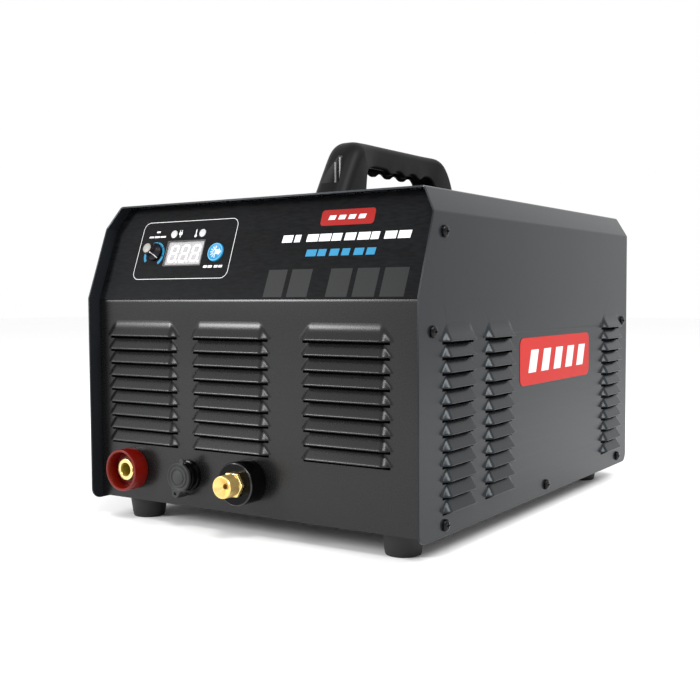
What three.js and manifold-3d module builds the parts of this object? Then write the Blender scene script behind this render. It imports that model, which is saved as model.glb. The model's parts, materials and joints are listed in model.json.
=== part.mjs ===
// Portable plasma cutting power source: a sheet-metal case with a carry handle, a sloped control
// console, three front connectors, rear services, and the inverter, valve and fan inside.
// Millimetres, +Z up, +Y towards the back. The origin is on the floor under the middle of the unit.
import * as THREE from 'three';
import { mergeVertices } from 'three/addons/utils/BufferGeometryUtils.js';
import { ConvexGeometry } from 'three/addons/geometries/ConvexGeometry.js';
import Module from 'manifold-3d';

const wasm = await Module();
wasm.setup();

// ---- driving dimensions -------------------------------------------------------------------
const SHEET = 1.2;                 // steel sheet
const GAP = 0.3;                   // clearance between touching pieces
const HALF_WIDTH = 145;            // cover, middle to outer face
const DEPTH = 390;                 // cover, front edge to rear edge
const CASE_HEIGHT = 225.3;         // cover, bottom edge to top face
const FOOT_HEIGHT = 14.5;          // floor to the cover's bottom edge
const OVERHANG = 19.8;             // how far the fittings stand out past the cover, front and back
const CHAMFER_BOTTOM = 208.4;      // where the top corner chamfer starts
const CHAMFER_WIDTH = 10.3;
const SLOPE_BOTTOM = 154.7;        // where the cover's front edge starts to lean back
const SLOPE_RUN = 26.3;            // how far it leans back at the top
const CORNER_RADIUS = 8;           // cover's bottom corners, seen from the side
const PANEL_RECESS = 10.4;         // panels stand this far inside the cover's edges
const PANEL_BOTTOM = 2;
const PANEL_CLEARANCE = 0.6;       // panel edge to the cover's inner face
const BEND_HEIGHT = 152.5;         // front panel's bend line
const LEAN = THREE.MathUtils.degToRad(20.42);
const FLANGE_DEPTH = 16;
const TRAY_FLANGE_TOP = 22;

const LOUVRE_PITCH = 10;
const LOUVRE_TOP_LIP = 126;        // lip of the highest louvre, above the cover's bottom edge
const LOUVRE_RISE = 9.2;           // lip to crown
const LOUVRE_DEPTH = 5.2;          // how far the lip stands out
const SIDE_COLUMNS = [[28, 76.2], [90.4, 138.2], [321.4, 370.1]];
const SIDE_ROWS = 12;
const FRONT_COLUMNS = [[-134, -62], [-50.4, 22], [47.6, 120]];
const FRONT_ROWS = 9;

const SCREWS = [[32.8, 196.1], [17.2, 132.8], [33.4, 7.6], [199.6, 7.6], [365, 7.6], [375.5, 131]];  // y, z
const SCREW_SHANK = 2;
const SCREW_HOLE = 2.4;

const RETURN_SOCKET = [-110.6, 25.4];   // axes of the front connectors: x, z
const CONTROL_SOCKET = [-53.6, 25.3];
const TORCH_SOCKET = [2.5, 26.4];
const CAP_TURN = THREE.MathUtils.degToRad(15);   // the dust cap sits turned on its socket

const KNOB = [-96.9, 38.6];        // console: x, distance up the slope from the bend
const DISPLAY = [-66.9, 37.2];
const BUTTON = [-36, 37];
const BUTTON_RADIUS = 7.1;
const LEDS = { power_led: [-81.2, 52.8], overheat_led: [-53.1, 52.8] };
const POINTER_ANGLE = -45;         // degrees from +X in the console's plane: the high-current stop
const KNOB_HEIGHT = 9;             // panel to the knob's front rim
const FILM = 0.5;                  // console overlay

const FOOT_X = 115;
const FOOT_INSETS = { front: 31.4, rear: 35 };
const HANDLE_FRONT = 103.5;
const HANDLE_REAR = 309;
const HANDLE_HEIGHT = 51.8;
const HANDLE_WIDTH = 30;           // across the front leg
const GRIP_WIDTH = 22;
const POCKET_FLOOR = 17.3;         // pocket in the handle's front leg
const FINGER_PITCH = 23.7;

const FAN = [-52, 112];            // rear panel: x, z
const FAN_SIZE = 120;
const SWITCH = [88, 158];
const AIR_INLET = [88, 100];
const GLAND = [88, 46];

// ---- materials ----------------------------------------------------------------------------
const paint = (color, roughness, metalness = 0) =>
  new THREE.MeshStandardMaterial({ color, roughness, metalness });
const COVER_PAINT = paint(0x5f6366, 0.55);
const PANEL_PAINT = paint(0x3a3a3b, 0.7);
const FILM_BLACK = paint(0x1c1d1f, 0.6);
const BLACK_PLASTIC = paint(0x18181a, 0.45);
const RUBBER = paint(0x2c2c2d, 0.85);
const CAP_RUBBER = paint(0x56575a, 0.8);
const RED_PLASTIC = paint(0xa01d14, 0.35);
const BLUE_PLASTIC = paint(0x1f86c0, 0.4);
const GREY_PLASTIC = paint(0x8a8a88, 0.5);
const WHITE_PLASTIC = paint(0xd9d6d6, 0.4);
const BRASS = paint(0xd8b050, 0.25, 1);
const STEEL = paint(0xb8babd, 0.35, 1);
const ALUMINIUM = paint(0xc8cacc, 0.4, 1);
const COPPER = paint(0xb5642e, 0.4, 1);
const FERRITE = paint(0x303236, 0.75);
const BOARD_GREEN = paint(0x1d5a35, 0.5);
const HOSE_BLUE = paint(0x2a5fa8, 0.5);
const CLEAR = paint(0xdfe3e6, 0.1);

// ---- solid helpers ------------------------------------------------------------------------
// Shared corners merged, collapsed triangles dropped, faces turned outwards.
function closed(geometry) {
  const bare = geometry.clone();
  bare.deleteAttribute('normal');
  bare.deleteAttribute('uv');
  const merged = mergeVertices(bare, 1e-4);
  const point = merged.attributes.position;
  const [a, b, c] = [new THREE.Vector3(), new THREE.Vector3(), new THREE.Vector3()];
  const kept = [];
  let volume = 0;
  for (let i = 0; i < merged.index.count; i += 3) {
    const [p, q, r] = [0, 1, 2].map((k) => merged.index.getX(i + k));
    if (p === q || q === r || r === p) continue;
    kept.push([p, q, r]);
    volume += a.fromBufferAttribute(point, p)
      .dot(b.fromBufferAttribute(point, q).cross(c.fromBufferAttribute(point, r)));
  }
  merged.setIndex(kept.flatMap(([p, q, r]) => (volume < 0 ? [p, r, q] : [p, q, r])));
  return merged;
}

function solid(geometry) {
  const { attributes, index } = closed(geometry);
  return new wasm.Manifold(new wasm.Mesh({
    numProp: 3,
    vertProperties: Float32Array.from(attributes.position.array),
    triVerts: Uint32Array.from(index.array),
  }));
}

function surface(manifold) {
  const mesh = manifold.getMesh();
  const geometry = new THREE.BufferGeometry();
  geometry.setAttribute('position', new THREE.BufferAttribute(Float32Array.from(mesh.vertProperties), 3));
  geometry.setIndex(Array.from(mesh.triVerts));
  return geometry;
}

const joined = (...geometries) => geometries.map(solid).reduce((whole, part) => whole.add(part));
const cut = (whole, ...tools) => tools.reduce((rest, tool) => rest.subtract(solid(tool)), whole);

const outline = (points) => new THREE.Shape(points.map(([x, y]) => new THREE.Vector2(x, y)));
const mirrored = (points) => points.map(([x, y]) => [-x, y]).reverse();

function extrudeZ(shape, low, high) {
  return new THREE.ExtrudeGeometry(shape, { depth: high - low, bevelEnabled: false, curveSegments: 8 })
    .translate(0, 0, low);
}

// The outline is drawn in X and Z.
function extrudeY(shape, low, high) {
  return extrudeZ(shape, 0, high - low).rotateX(Math.PI / 2).translate(0, high, 0);
}

// The outline is drawn in Y and Z.
function extrudeX(shape, low, high) {
  const turn = new THREE.Matrix4().makeBasis(
    new THREE.Vector3(0, 1, 0), new THREE.Vector3(0, 0, 1), new THREE.Vector3(1, 0, 0));
  return extrudeZ(shape, 0, high - low).applyMatrix4(turn).translate(low, 0, 0);
}

function box([x0, y0, z0], [x1, y1, z1]) {
  return new THREE.BoxGeometry(x1 - x0, y1 - y0, z1 - z0)
    .translate((x0 + x1) / 2, (y0 + y1) / 2, (z0 + z1) / 2);
}

// Turned pieces: a profile of [radius, distance along the axis] points.
const turned = (profile, sides = 24) =>
  new THREE.LatheGeometry(profile.map(([r, h]) => new THREE.Vector2(r, h)), sides);
const turnedY = (profile, sides) => turned(profile, sides);
const turnedZ = (profile, sides) => turned(profile, sides).rotateX(Math.PI / 2);  // axis towards +Z

function rodX(radius, low, high, y, z, sides = 12) {
  return new THREE.CylinderGeometry(radius, radius, high - low, sides)
    .rotateZ(Math.PI / 2).translate((low + high) / 2, y, z);
}

function rodY(radius, low, high, x, z, sides = 24) {
  return new THREE.CylinderGeometry(radius, radius, high - low, sides)
    .translate(x, (low + high) / 2, z);
}

function rodZ(radius, low, high, x, y, sides = 24) {
  return new THREE.CylinderGeometry(radius, radius, high - low, sides)
    .rotateX(Math.PI / 2).translate(x, y, (low + high) / 2);
}

// ---- scene graph --------------------------------------------------------------------------
const unit = new THREE.Group();
const caseGroup = new THREE.Group();       // Y from the cover's front edge, Z from its bottom edge
caseGroup.position.set(0, -DEPTH / 2, FOOT_HEIGHT);
unit.add(caseGroup);
const consoleGroup = new THREE.Group();    // X across, Y up the slope, Z out of the front panel
consoleGroup.position.set(0, PANEL_RECESS, BEND_HEIGHT);
consoleGroup.rotation.x = Math.PI / 2 - LEAN;
caseGroup.add(consoleGroup);

function place(group, name, shape, material, [x, y, z] = [0, 0, 0]) {
  const geometry = shape.isBufferGeometry ? closed(shape) : surface(shape);
  const mesh = new THREE.Mesh(geometry, material);
  mesh.name = name;
  mesh.position.set(x, y, z);
  group.add(mesh);
  return mesh;
}

function onConsole(geometry) {
  consoleGroup.updateMatrix();
  return geometry.applyMatrix4(consoleGroup.matrix);
}

// ---- case outlines ------------------------------------------------------------------------
// Right half of the cover's section, bottom to top, at a distance inside its outer face.
function hoodHalf(inset, bottom = 0) {
  const flare = Math.atan2(CHAMFER_WIDTH, CASE_HEIGHT - CHAMFER_BOTTOM);
  return [
    [HALF_WIDTH - inset, bottom],
    [HALF_WIDTH - inset, CHAMFER_BOTTOM - inset * Math.tan(flare / 2)],
    [HALF_WIDTH - CHAMFER_WIDTH - inset * Math.tan((Math.PI / 2 - flare) / 2), CASE_HEIGHT - inset],
  ];
}

function hoodOutline(inset, bottom = 0) {
  const right = hoodHalf(inset, bottom);
  return [...right, ...mirrored(right)];
}

function coverSide() {
  const shape = new THREE.Shape();
  const r = CORNER_RADIUS;
  shape.moveTo(r, 0);
  shape.lineTo(DEPTH - r, 0);
  shape.absarc(DEPTH - r, r, r, -Math.PI / 2, 0, false);
  shape.lineTo(DEPTH, CASE_HEIGHT);
  shape.lineTo(SLOPE_RUN, CASE_HEIGHT);
  shape.lineTo(0, SLOPE_BOTTOM);
  shape.lineTo(0, r);
  shape.absarc(r, r, r, Math.PI, Math.PI * 1.5, false);
  return shape;
}

// ---- louvres ------------------------------------------------------------------------------
// A pressed hood between start and end along the sheet, open along its lip, and the hollow under it.
// at(along, out, up) maps the louvre's own directions into the case.
function louvre(start, end, lip, at) {
  const wedge = (tipInset, crownInset, lipInset, back, rise, out) => {
    const corners = [[tipInset, back, 0], [crownInset, back, rise], [lipInset, out, 0]];
    return new ConvexGeometry(corners.flatMap(([inset, away, up]) =>
      [at(start + inset, away, lip + up), at(end - inset, away, lip + up)]));
  };
  return {
    hood: wedge(0, 8, 6.5, -SHEET / 2, LOUVRE_RISE, LOUVRE_DEPTH),
    hollow: wedge(2.6, 8.6, 7.6, -SHEET - 0.4, LOUVRE_RISE - 1.2, LOUVRE_DEPTH - 1.4),
  };
}

function pressLouvres(sheet, columns, rows, at) {
  let result = sheet;
  for (const [start, end] of columns) {
    for (let row = 0; row < rows; row += 1) {
      const { hood, hollow } = louvre(start, end, LOUVRE_TOP_LIP - row * LOUVRE_PITCH, at);
      result = result.add(solid(hood)).subtract(solid(hollow));
    }
  }
  return result;
}

// ---- case sheets --------------------------------------------------------------------------
function cover() {
  const section = outline([...hoodHalf(0), ...mirrored(hoodHalf(0)),
    ...hoodHalf(SHEET).map(([x, z]) => [-x, z]), ...mirrored(hoodHalf(SHEET)).map(([x, z]) => [-x, z])]);
  let sheet = solid(extrudeY(section, 0, DEPTH))
    .intersect(solid(extrudeX(coverSide(), -HALF_WIDTH - 1, HALF_WIDTH + 1)));
  for (const side of [-1, 1]) {
    const at = (along, out, up) => new THREE.Vector3(side * (HALF_WIDTH + out), along, up);
    sheet = pressLouvres(sheet, SIDE_COLUMNS, SIDE_ROWS, at);
  }
  const holes = SCREWS.map(([y, z]) => rodX(SCREW_HOLE, -HALF_WIDTH - 1, HALF_WIDTH + 1, y, z));
  const bolts = handleBolts().map((y) => rodZ(3.4, CASE_HEIGHT - 3, CASE_HEIGHT + 1, 0, y, 12));
  return cut(sheet, ...holes, ...bolts);
}

// Side view of the front panel at a distance behind its outer face, bottom to top.
function panelLine(inset, top) {
  const bendDrop = inset * Math.tan(LEAN / 2);
  const back = inset / Math.cos(LEAN) + PANEL_RECESS + (top - BEND_HEIGHT) * Math.tan(LEAN);
  return [[PANEL_RECESS + inset, BEND_HEIGHT - bendDrop], [back, top]];
}

function panelSide(front, back, bottom, top) {
  return outline([[PANEL_RECESS + front, bottom], ...panelLine(front, top),
    ...panelLine(back, top).reverse(), [PANEL_RECESS + back, bottom]]);
}

function frontPanel() {
  const inset = SHEET + PANEL_CLEARANCE;
  const edge = HALF_WIDTH - inset;
  const top = CASE_HEIGHT - inset;
  let panel = solid(extrudeX(panelSide(0, SHEET, PANEL_BOTTOM, top), -edge, edge))
    .intersect(solid(extrudeY(outline(hoodOutline(inset, PANEL_BOTTOM)), 0, 60)));
  for (const [low, high] of [[-edge, -edge + SHEET], [edge - SHEET, edge]]) {
    const flange = panelSide(SHEET / 2, FLANGE_DEPTH, TRAY_FLANGE_TOP + 2, CHAMFER_BOTTOM - 4);
    panel = panel.add(solid(extrudeX(flange, low, high)));
  }
  const at = (along, out, up) => new THREE.Vector3(along, PANEL_RECESS - out, up);
  panel = pressLouvres(panel, FRONT_COLUMNS, FRONT_ROWS, at);
  const holes = SCREWS.slice(0, 2).map(([y, z]) => rodX(SCREW_HOLE, -edge - 1, edge + 1, y, z));
  const sockets = [[RETURN_SOCKET, 10.4], [CONTROL_SOCKET, 8.9], [TORCH_SOCKET, 7]]
    .map(([at, r]) => rodY(r, 0, 20, ...at));
  return cut(panel, ...holes, ...sockets, ...consoleHoles(0.4).map(onConsole));
}

// Openings through the console for the shaft, the display, the button and the lamps.
function consoleHoles(play) {
  const [displayX, displayY] = DISPLAY;
  return [
    rodZ(3.6 + play, -5, 5, ...KNOB),
    rodZ(BUTTON_RADIUS + 0.2 + play, -5, 5, ...BUTTON, 28),
    box([displayX - 17.9 - play, displayY - 9.4 - play, -5], [displayX + 17.9 + play, displayY + 9.4 + play, 5]),
    ...Object.values(LEDS).map(([x, y]) => rodZ(3.2 + play, -5, 5, x, y, 16)),
  ];
}

function consoleOverlay() {
  const inset = SHEET + PANEL_CLEARANCE + 0.6;
  const up = (height) => (height - BEND_HEIGHT) / Math.cos(LEAN);
  const right = hoodHalf(inset, BEND_HEIGHT + 0.8).map(([x, z]) => [x, up(z)]);
  const film = solid(extrudeZ(outline([...right, ...mirrored(right)]), GAP, GAP + FILM));
  return cut(film, ...consoleHoles(0.15));
}

function baseTray() {
  const edge = HALF_WIDTH - SHEET - PANEL_CLEARANCE;
  const front = PANEL_RECESS + SHEET + PANEL_CLEARANCE;
  const back = DEPTH - front;
  const section = outline([[-edge, TRAY_FLANGE_TOP], [-edge, PANEL_BOTTOM], [edge, PANEL_BOTTOM],
    [edge, TRAY_FLANGE_TOP], [edge - SHEET, TRAY_FLANGE_TOP], [edge - SHEET, PANEL_BOTTOM + SHEET],
    [-edge + SHEET, PANEL_BOTTOM + SHEET], [-edge + SHEET, TRAY_FLANGE_TOP]]);
  const lips = [front, back - SHEET].map((y) =>
    box([-edge, y, PANEL_BOTTOM], [edge, y + SHEET, PANEL_BOTTOM + 7]));
  const slots = [];
  for (let row = 0; row < 4; row += 1) {
    for (const x of [-40, 40]) {
      const y = 120 + row * 22;
      slots.push(box([x - 22, y - 2.5, 0], [x + 22, y + 2.5, 6]));
    }
  }
  const holes = SCREWS.slice(2, 5).map(([y, z]) => rodX(SCREW_HOLE, -edge - 1, edge + 1, y, z));
  return cut(joined(extrudeY(section, front, back), ...lips), ...slots, ...holes);
}

function rearPanel() {
  const inset = SHEET + PANEL_CLEARANCE;
  const edge = HALF_WIDTH - inset;
  const outer = DEPTH - PANEL_RECESS;
  const inner = outer - SHEET;
  const flange = (low, high) =>
    box([low, outer - FLANGE_DEPTH, TRAY_FLANGE_TOP + 2], [high, inner + SHEET / 2, CHAMFER_BOTTOM - 4]);
  const panel = joined(extrudeY(outline(hoodOutline(inset, PANEL_BOTTOM)), inner, outer),
    flange(-edge, -edge + SHEET), flange(edge - SHEET, edge));
  const holes = [
    ...grilleSlots(inner - 1, outer + 1),
    rodX(SCREW_HOLE, -edge - 1, edge + 1, ...SCREWS[5]),
    rodY(8.4, inner - 1, outer + 1, ...GLAND),
    rodY(7.4, inner - 1, outer + 1, ...AIR_INLET),
    box([SWITCH[0] - 13.9, inner - 1, SWITCH[1] - 10.4], [SWITCH[0] + 13.9, outer + 1, SWITCH[1] + 10.4]),
  ];
  return cut(panel, ...holes);
}

// Horizontal slots with round ends that fill the fan's circle, parted by an upright bar.
function grilleSlots(low, high) {
  const [fanX, fanZ] = FAN;
  const [reach, bar, half] = [56, 4, 2.6];
  const slots = [];
  for (let row = -5; row <= 5; row += 1) {
    const rise = row * 9.4;
    const chord = Math.sqrt(reach ** 2 - (Math.abs(rise) + half) ** 2);
    for (const side of [-1, 1]) {
      const [near, far] = [bar + half, chord - half];
      const slot = new THREE.Shape();
      slot.absarc(far, 0, half, -Math.PI / 2, Math.PI / 2, false);
      slot.absarc(near, 0, half, Math.PI / 2, Math.PI * 1.5, false);
      const tool = new THREE.ExtrudeGeometry(slot, { depth: high - low, bevelEnabled: false, curveSegments: 2 })
        .rotateX(Math.PI / 2).translate(0, high, 0);
      if (side < 0) tool.rotateZ(Math.PI).translate(0, low + high, 0);
      slots.push(tool.translate(fanX, 0, fanZ + rise));
    }
  }
  return slots;
}

// ---- feet, handle and fasteners -----------------------------------------------------------
// Tapered rubber foot with a counterbored screw hole.
function foot() {
  const top = PANEL_BOTTOM - GAP;
  return turnedZ([[2.4, top], [2.4, -6], [6, -6], [6, -FOOT_HEIGHT], [11.6, -FOOT_HEIGHT],
    [12.2, 1 - FOOT_HEIGHT], [14.4, top], [2.4, top]], 20);
}

function handleBolts() {
  return [HANDLE_FRONT + 22, HANDLE_REAR - 18];
}

// Side view: front leg leaning back, level grip with finger bumps underneath, rounded rear shoulder.
function handleOutline() {
  const [front, rear, top] = [HANDLE_FRONT, HANDLE_REAR, HANDLE_HEIGHT];
  const shape = new THREE.Shape();
  shape.moveTo(front, 0);
  shape.lineTo(front + 21.8, 36);
  shape.bezierCurveTo(front + 27, 44.5, front + 32, top, front + 42, top);
  shape.lineTo(rear - 42, top);
  shape.bezierCurveTo(rear - 27, top, rear - 17.5, 41, rear - 11.5, 28.4);
  shape.lineTo(rear, 0);
  shape.lineTo(rear - 38, 0);
  shape.lineTo(rear - 41, 18);
  const first = rear - 58;
  shape.bezierCurveTo(rear - 44, 30.4, rear - 51, 33, first, 32.8);
  for (let i = 0; i < 3; i += 1) fingerBump(shape, first - i * FINGER_PITCH);
  shape.bezierCurveTo(front + 60, 32.8, front + 48, 33.6, front + 47, 24);
  shape.lineTo(front + 45.5, 16);
  shape.lineTo(front + 44, 0);
  return shape;
}

// One bump between two finger hollows, drawn forwards from a hollow.
function fingerBump(shape, start) {
  const [hollow, tip, half] = [32.6, 29.3, FINGER_PITCH / 2];
  shape.bezierCurveTo(start - half * 0.6, hollow, start - half * 0.6, tip, start - half, tip);
  shape.bezierCurveTo(start - half * 1.4, tip, start - half * 1.4, hollow, start - 2 * half, hollow);
}

// Upright wedge-shaped pocket let into the leaning face of the front leg.
function handlePocket() {
  const shape = new THREE.Shape();
  shape.moveTo(-10, HANDLE_FRONT - 5);
  shape.lineTo(10, HANDLE_FRONT - 5);
  shape.lineTo(10, HANDLE_FRONT + 10);
  shape.lineTo(1.6, HANDLE_FRONT + 26);
  shape.lineTo(-1.6, HANDLE_FRONT + 26);
  shape.lineTo(-10, HANDLE_FRONT + 10);
  return extrudeZ(shape, POCKET_FLOOR, HANDLE_HEIGHT + 5);
}

// Plan view: wide at the legs, waisted along the grip.
function handlePlan() {
  const [wide, grip, back] = [HANDLE_WIDTH / 2, GRIP_WIDTH / 2, HANDLE_WIDTH / 2 - 1.5];
  const right = [[wide - 4, HANDLE_FRONT - 1], [wide, HANDLE_FRONT + 12], [wide, HANDLE_FRONT + 38],
    [grip + 1, HANDLE_FRONT + 54], [grip, HANDLE_FRONT + 66], [grip, HANDLE_REAR - 56], [grip + 1, HANDLE_REAR - 44],
    [back, HANDLE_REAR - 28], [back, HANDLE_REAR + 1]];
  return extrudeZ(outline([...right, ...mirrored(right)]), -1, HANDLE_HEIGHT + 1);
}

function handle() {
  const half = HANDLE_WIDTH / 2;
  const body = new THREE.ExtrudeGeometry(handleOutline(),
    { depth: HANDLE_WIDTH, bevelEnabled: false, curveSegments: 6 });
  const turn = new THREE.Matrix4().makeBasis(
    new THREE.Vector3(0, 1, 0), new THREE.Vector3(0, 0, 1), new THREE.Vector3(1, 0, 0));
  const side = solid(body.applyMatrix4(turn).translate(-half, 0, 0));
  const shoulder = [[half, HANDLE_HEIGHT - 9], [half - 4, HANDLE_HEIGHT - 4.5], [half - 8, HANDLE_HEIGHT - 0.8],
    [half - 10, HANDLE_HEIGHT + 0.1]];
  const crown = outline([[half, -1], ...shoulder, ...mirrored(shoulder), [-half, -1]]);
  const shaped = side.intersect(solid(extrudeY(crown, HANDLE_FRONT - 1, HANDLE_REAR + 1)))
    .intersect(solid(handlePlan()));
  const channel = box([-6.5, HANDLE_FRONT + 56, 20], [6.5, HANDLE_REAR - 50, 41]);
  return cut(shaped, handlePocket(), channel, ...handleBolts().map((y) => rodZ(3.4, -1, 14, 0, y, 12)));
}

// Domed head above the sheet, threaded shank through it; the axis runs outwards along +Z.
function coverScrew() {
  const seat = GAP;
  return turnedZ([[0, -7], [SCREW_SHANK, -7], [SCREW_SHANK, seat], [4, seat], [3.5, seat + 1.6],
    [0, seat + 2.5]], 12);
}

function handleScrew() {
  return turnedZ([[0, -6], [5.4, -6], [5.4, -GAP - SHEET], [3, -GAP - SHEET], [3, 12], [0, 12]], 12);
}

// ---- console pieces -----------------------------------------------------------------------
// Skirt at the panel, narrower grip above it, and a raised pointer on the skirt.
function knob() {
  const bottom = GAP + FILM + 0.4;
  const body = turnedZ([[3.3, bottom], [7, bottom], [7, bottom + 1.4], [5.4, bottom + 3.4], [4.5, bottom + 5],
    [4.3, KNOB_HEIGHT], [3.3, KNOB_HEIGHT], [3.3, bottom]], 24);
  const pointer = box([4, -0.45, bottom + 1], [6.8, 0.45, bottom + 2.4])
    .rotateZ(THREE.MathUtils.degToRad(POINTER_ANGLE));
  return joined(body, pointer);
}

function knobCap() {
  const rim = KNOB_HEIGHT + GAP;
  return turnedZ([[0, rim - 1.2], [2.9, rim - 1.2], [2.9, rim], [3.7, rim], [3.7, rim + 0.5],
    [3, rim + 0.9], [0, rim + 1]], 18);
}

function potentiometer() {
  return joined(rodZ(8, -13, -4.6, 0, 0), rodZ(3.5, -5, -0.6, 0, 0, 16));
}

function addConsole() {
  place(consoleGroup, 'control_label', consoleOverlay(), FILM_BLACK);
  const knobAt = [...KNOB, 0];
  place(consoleGroup, 'current_knob', knob(), BLACK_PLASTIC, knobAt);
  place(consoleGroup, 'knob_cap', knobCap(), GREY_PLASTIC, knobAt);
  place(consoleGroup, 'pot_shaft', rodZ(3, -0.3, KNOB_HEIGHT - 1.5, 0, 0, 14), ALUMINIUM, knobAt);
  place(consoleGroup, 'potentiometer', potentiometer(), STEEL, knobAt);

  const buttonAt = [...BUTTON, 0];
  const r = BUTTON_RADIUS;
  const cap = [[0, -4.4], [r + 1.3, -4.4], [r + 1.3, -3.6], [r, -3.6], [r, 1.3], [r - 0.5, 1.8], [0, 1.8]];
  place(consoleGroup, 'gas_test_button', turnedZ(cap, 24), BLUE_PLASTIC, buttonAt);
  place(consoleGroup, 'gas_test_switch', joined(box([-6, -6, -13.4], [6, 6, -7]),
    rodZ(1.75, -8, -6.2, 0, 0, 12)), BLACK_PLASTIC, buttonAt);

  const displayAt = [...DISPLAY, 0];
  place(consoleGroup, 'digit_display', box([-17.9, -9.4, -8], [17.9, 9.4, 0.1]), WHITE_PLASTIC, displayAt);
  place(consoleGroup, 'display_window', box([-17.9, -9.4, 0.4], [17.9, 9.4, 0.8]), CLEAR, displayAt);
  for (const [name, at] of Object.entries(LEDS)) {
    const lens = [[0, -12], [2.4, -12], [3.1, -1.6], [3.1, 0.7], [2.6, 1.1], [0, 1.3]];
    place(consoleGroup, name, turnedZ(lens, 14), WHITE_PLASTIC, [...at, 0]);
  }
  const board = solid(box([-113, 14, -15.4], [-22, 62, -13.8]));
  place(consoleGroup, 'control_board', board, BOARD_GREEN);
}

// ---- front connectors ---------------------------------------------------------------------
function addReturnSocket() {
  const at = [RETURN_SOCKET[0], 0, RETURN_SOCKET[1]];
  const seat = PANEL_RECESS - GAP;
  const housing = turnedY([[8.6, 26], [8.6, 4.8], [9.8, 4.8], [10, 8], [13.1, 8], [13.5, -2.2], [13.8, -2.85],
    [15.2, -2.85], [15.7, -2.2], [15.7, seat], [10, seat], [10, 26], [8.6, 26]], 24);
  place(caseGroup, 'return_socket_housing', housing, RED_PLASTIC, at);
  const ring = turnedY([[5.1, 2.2], [7.8, 2.2], [8.2, 2.8], [8.2, 34], [0, 34], [0, 26], [5.1, 26],
    [5.1, 2.2]], 24);
  const contact = cut(solid(ring), box([6.5, 1, -1.8], [9, 9, 1.8]));
  place(caseGroup, 'return_socket_contact', contact, BRASS, at);
  place(caseGroup, 'return_socket_nut', ringNut(13, 10.4, 12, 18), STEEL, at);
}

// Hexagon nut around a round hole, its axis along Y.
function ringNut(radius, hole, low, high) {
  return cut(solid(rodY(radius, low, high, 0, 0, 6)), rodY(hole, low - 1, high + 1, 0, 0, 24));
}

function addControlSocket() {
  const at = [CONTROL_SOCKET[0], 0, CONTROL_SOCKET[1]];
  const seat = PANEL_RECESS - GAP;
  const shell = turnedY([[0, 8], [7.4, 8], [7.4, 0.8], [9.3, 0.8], [9.9, 1.6], [9.9, 3], [10.6, 3.7], [10.6, 5],
    [10.1, 5.8], [10.1, 7], [11.5, 7.6], [11.5, seat], [8.5, seat], [8.5, 26], [0, 26]], 24);
  const pins = [];
  for (let i = 0; i < 5; i += 1) {
    const turn = (i / 5) * Math.PI * 2;
    pins.push(rodY(0.9, 1.6, 9, Math.cos(turn) * 5, Math.sin(turn) * 5, 6));
  }
  const body = pins.map(solid).reduce((whole, part) => whole.add(part), solid(shell));
  place(caseGroup, 'control_socket', body, BLACK_PLASTIC, at);
  place(caseGroup, 'control_socket_nut', ringNut(11.5, 8.9, 12, 16), STEEL, at);
  place(caseGroup, 'control_socket_cap', socketCap(), CAP_RUBBER, at);
}

// Flat ringed disc with a shallow plug, a tab to pull, and a strap that runs back under the socket.
function socketCap() {
  const lid = turnedY([[0, -1.9], [4.8, -1.9], [5.1, -1.5], [6.3, -1.5], [6.6, -1.9], [7.4, -1.9], [7.7, -1.4],
    [9.2, -1.4], [9.5, -1.8], [10.1, -1.8], [10.5, -1.4], [10.5, 0.5], [6.4, 0.5], [6.4, 1.2], [0, 1.2]], 24);
  const tab = extrudeY(outline([[-2, 8], [2, 8], [2, 12.6], [1.3, 13.9], [-1.3, 13.9], [-2, 12.6]]), -1.5, 0.5);
  const strap = outline([[-2.6, -15.6], [2.6, -15.6], [4.6, -9], [-4.6, -9]]);
  const loop = cut(joined(extrudeY(strap, -1.5, 0.5), box([-2.6, -1.5, -15.6], [2.6, 9.7, -14.2])),
    rodY(1.1, -3, 2, 0, -12.6, 10));
  return joined(lid, tab).add(loop).rotate([0, THREE.MathUtils.radToDeg(CAP_TURN), 0]);
}

function addTorchConnector() {
  const at = [TORCH_SOCKET[0], 0, TORCH_SOCKET[1]];
  const seat = PANEL_RECESS - GAP;
  const front = -5.9;
  const collar = turnedY([[6.9, front], [14.2, front], [15.2, front + 1], [15.2, seat], [6.9, seat],
    [6.9, front]], 24);
  place(caseGroup, 'torch_collar', collar, BLACK_PLASTIC, at);
  const barbs = [[6.5, front - GAP - 1], [6.5, 20], [4.2, 20], [4.2, 25], [5, 25], [4.2, 32], [1.9, 32]];
  const spigot = turnedY([[1.9, -15.6], [6.9, -OVERHANG], [7.5, -OVERHANG], [7.9, -OVERHANG + 0.7], [7.9, -15.2],
    [7.6, -14.9], [7.6, front - GAP - 1], ...barbs, [1.9, -15.6]], 18);
  const hex = cut(solid(rodY(9.5, -9.4, front - GAP, 0, 0, 6).rotateY(Math.PI / 6)), rodY(5, -13, 0, 0, 0, 16));
  place(caseGroup, 'torch_fitting', solid(spigot).add(hex), BRASS, at);
  place(caseGroup, 'torch_nut', ringNut(11, 6.9, 12, 17), STEEL, at);
}

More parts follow.
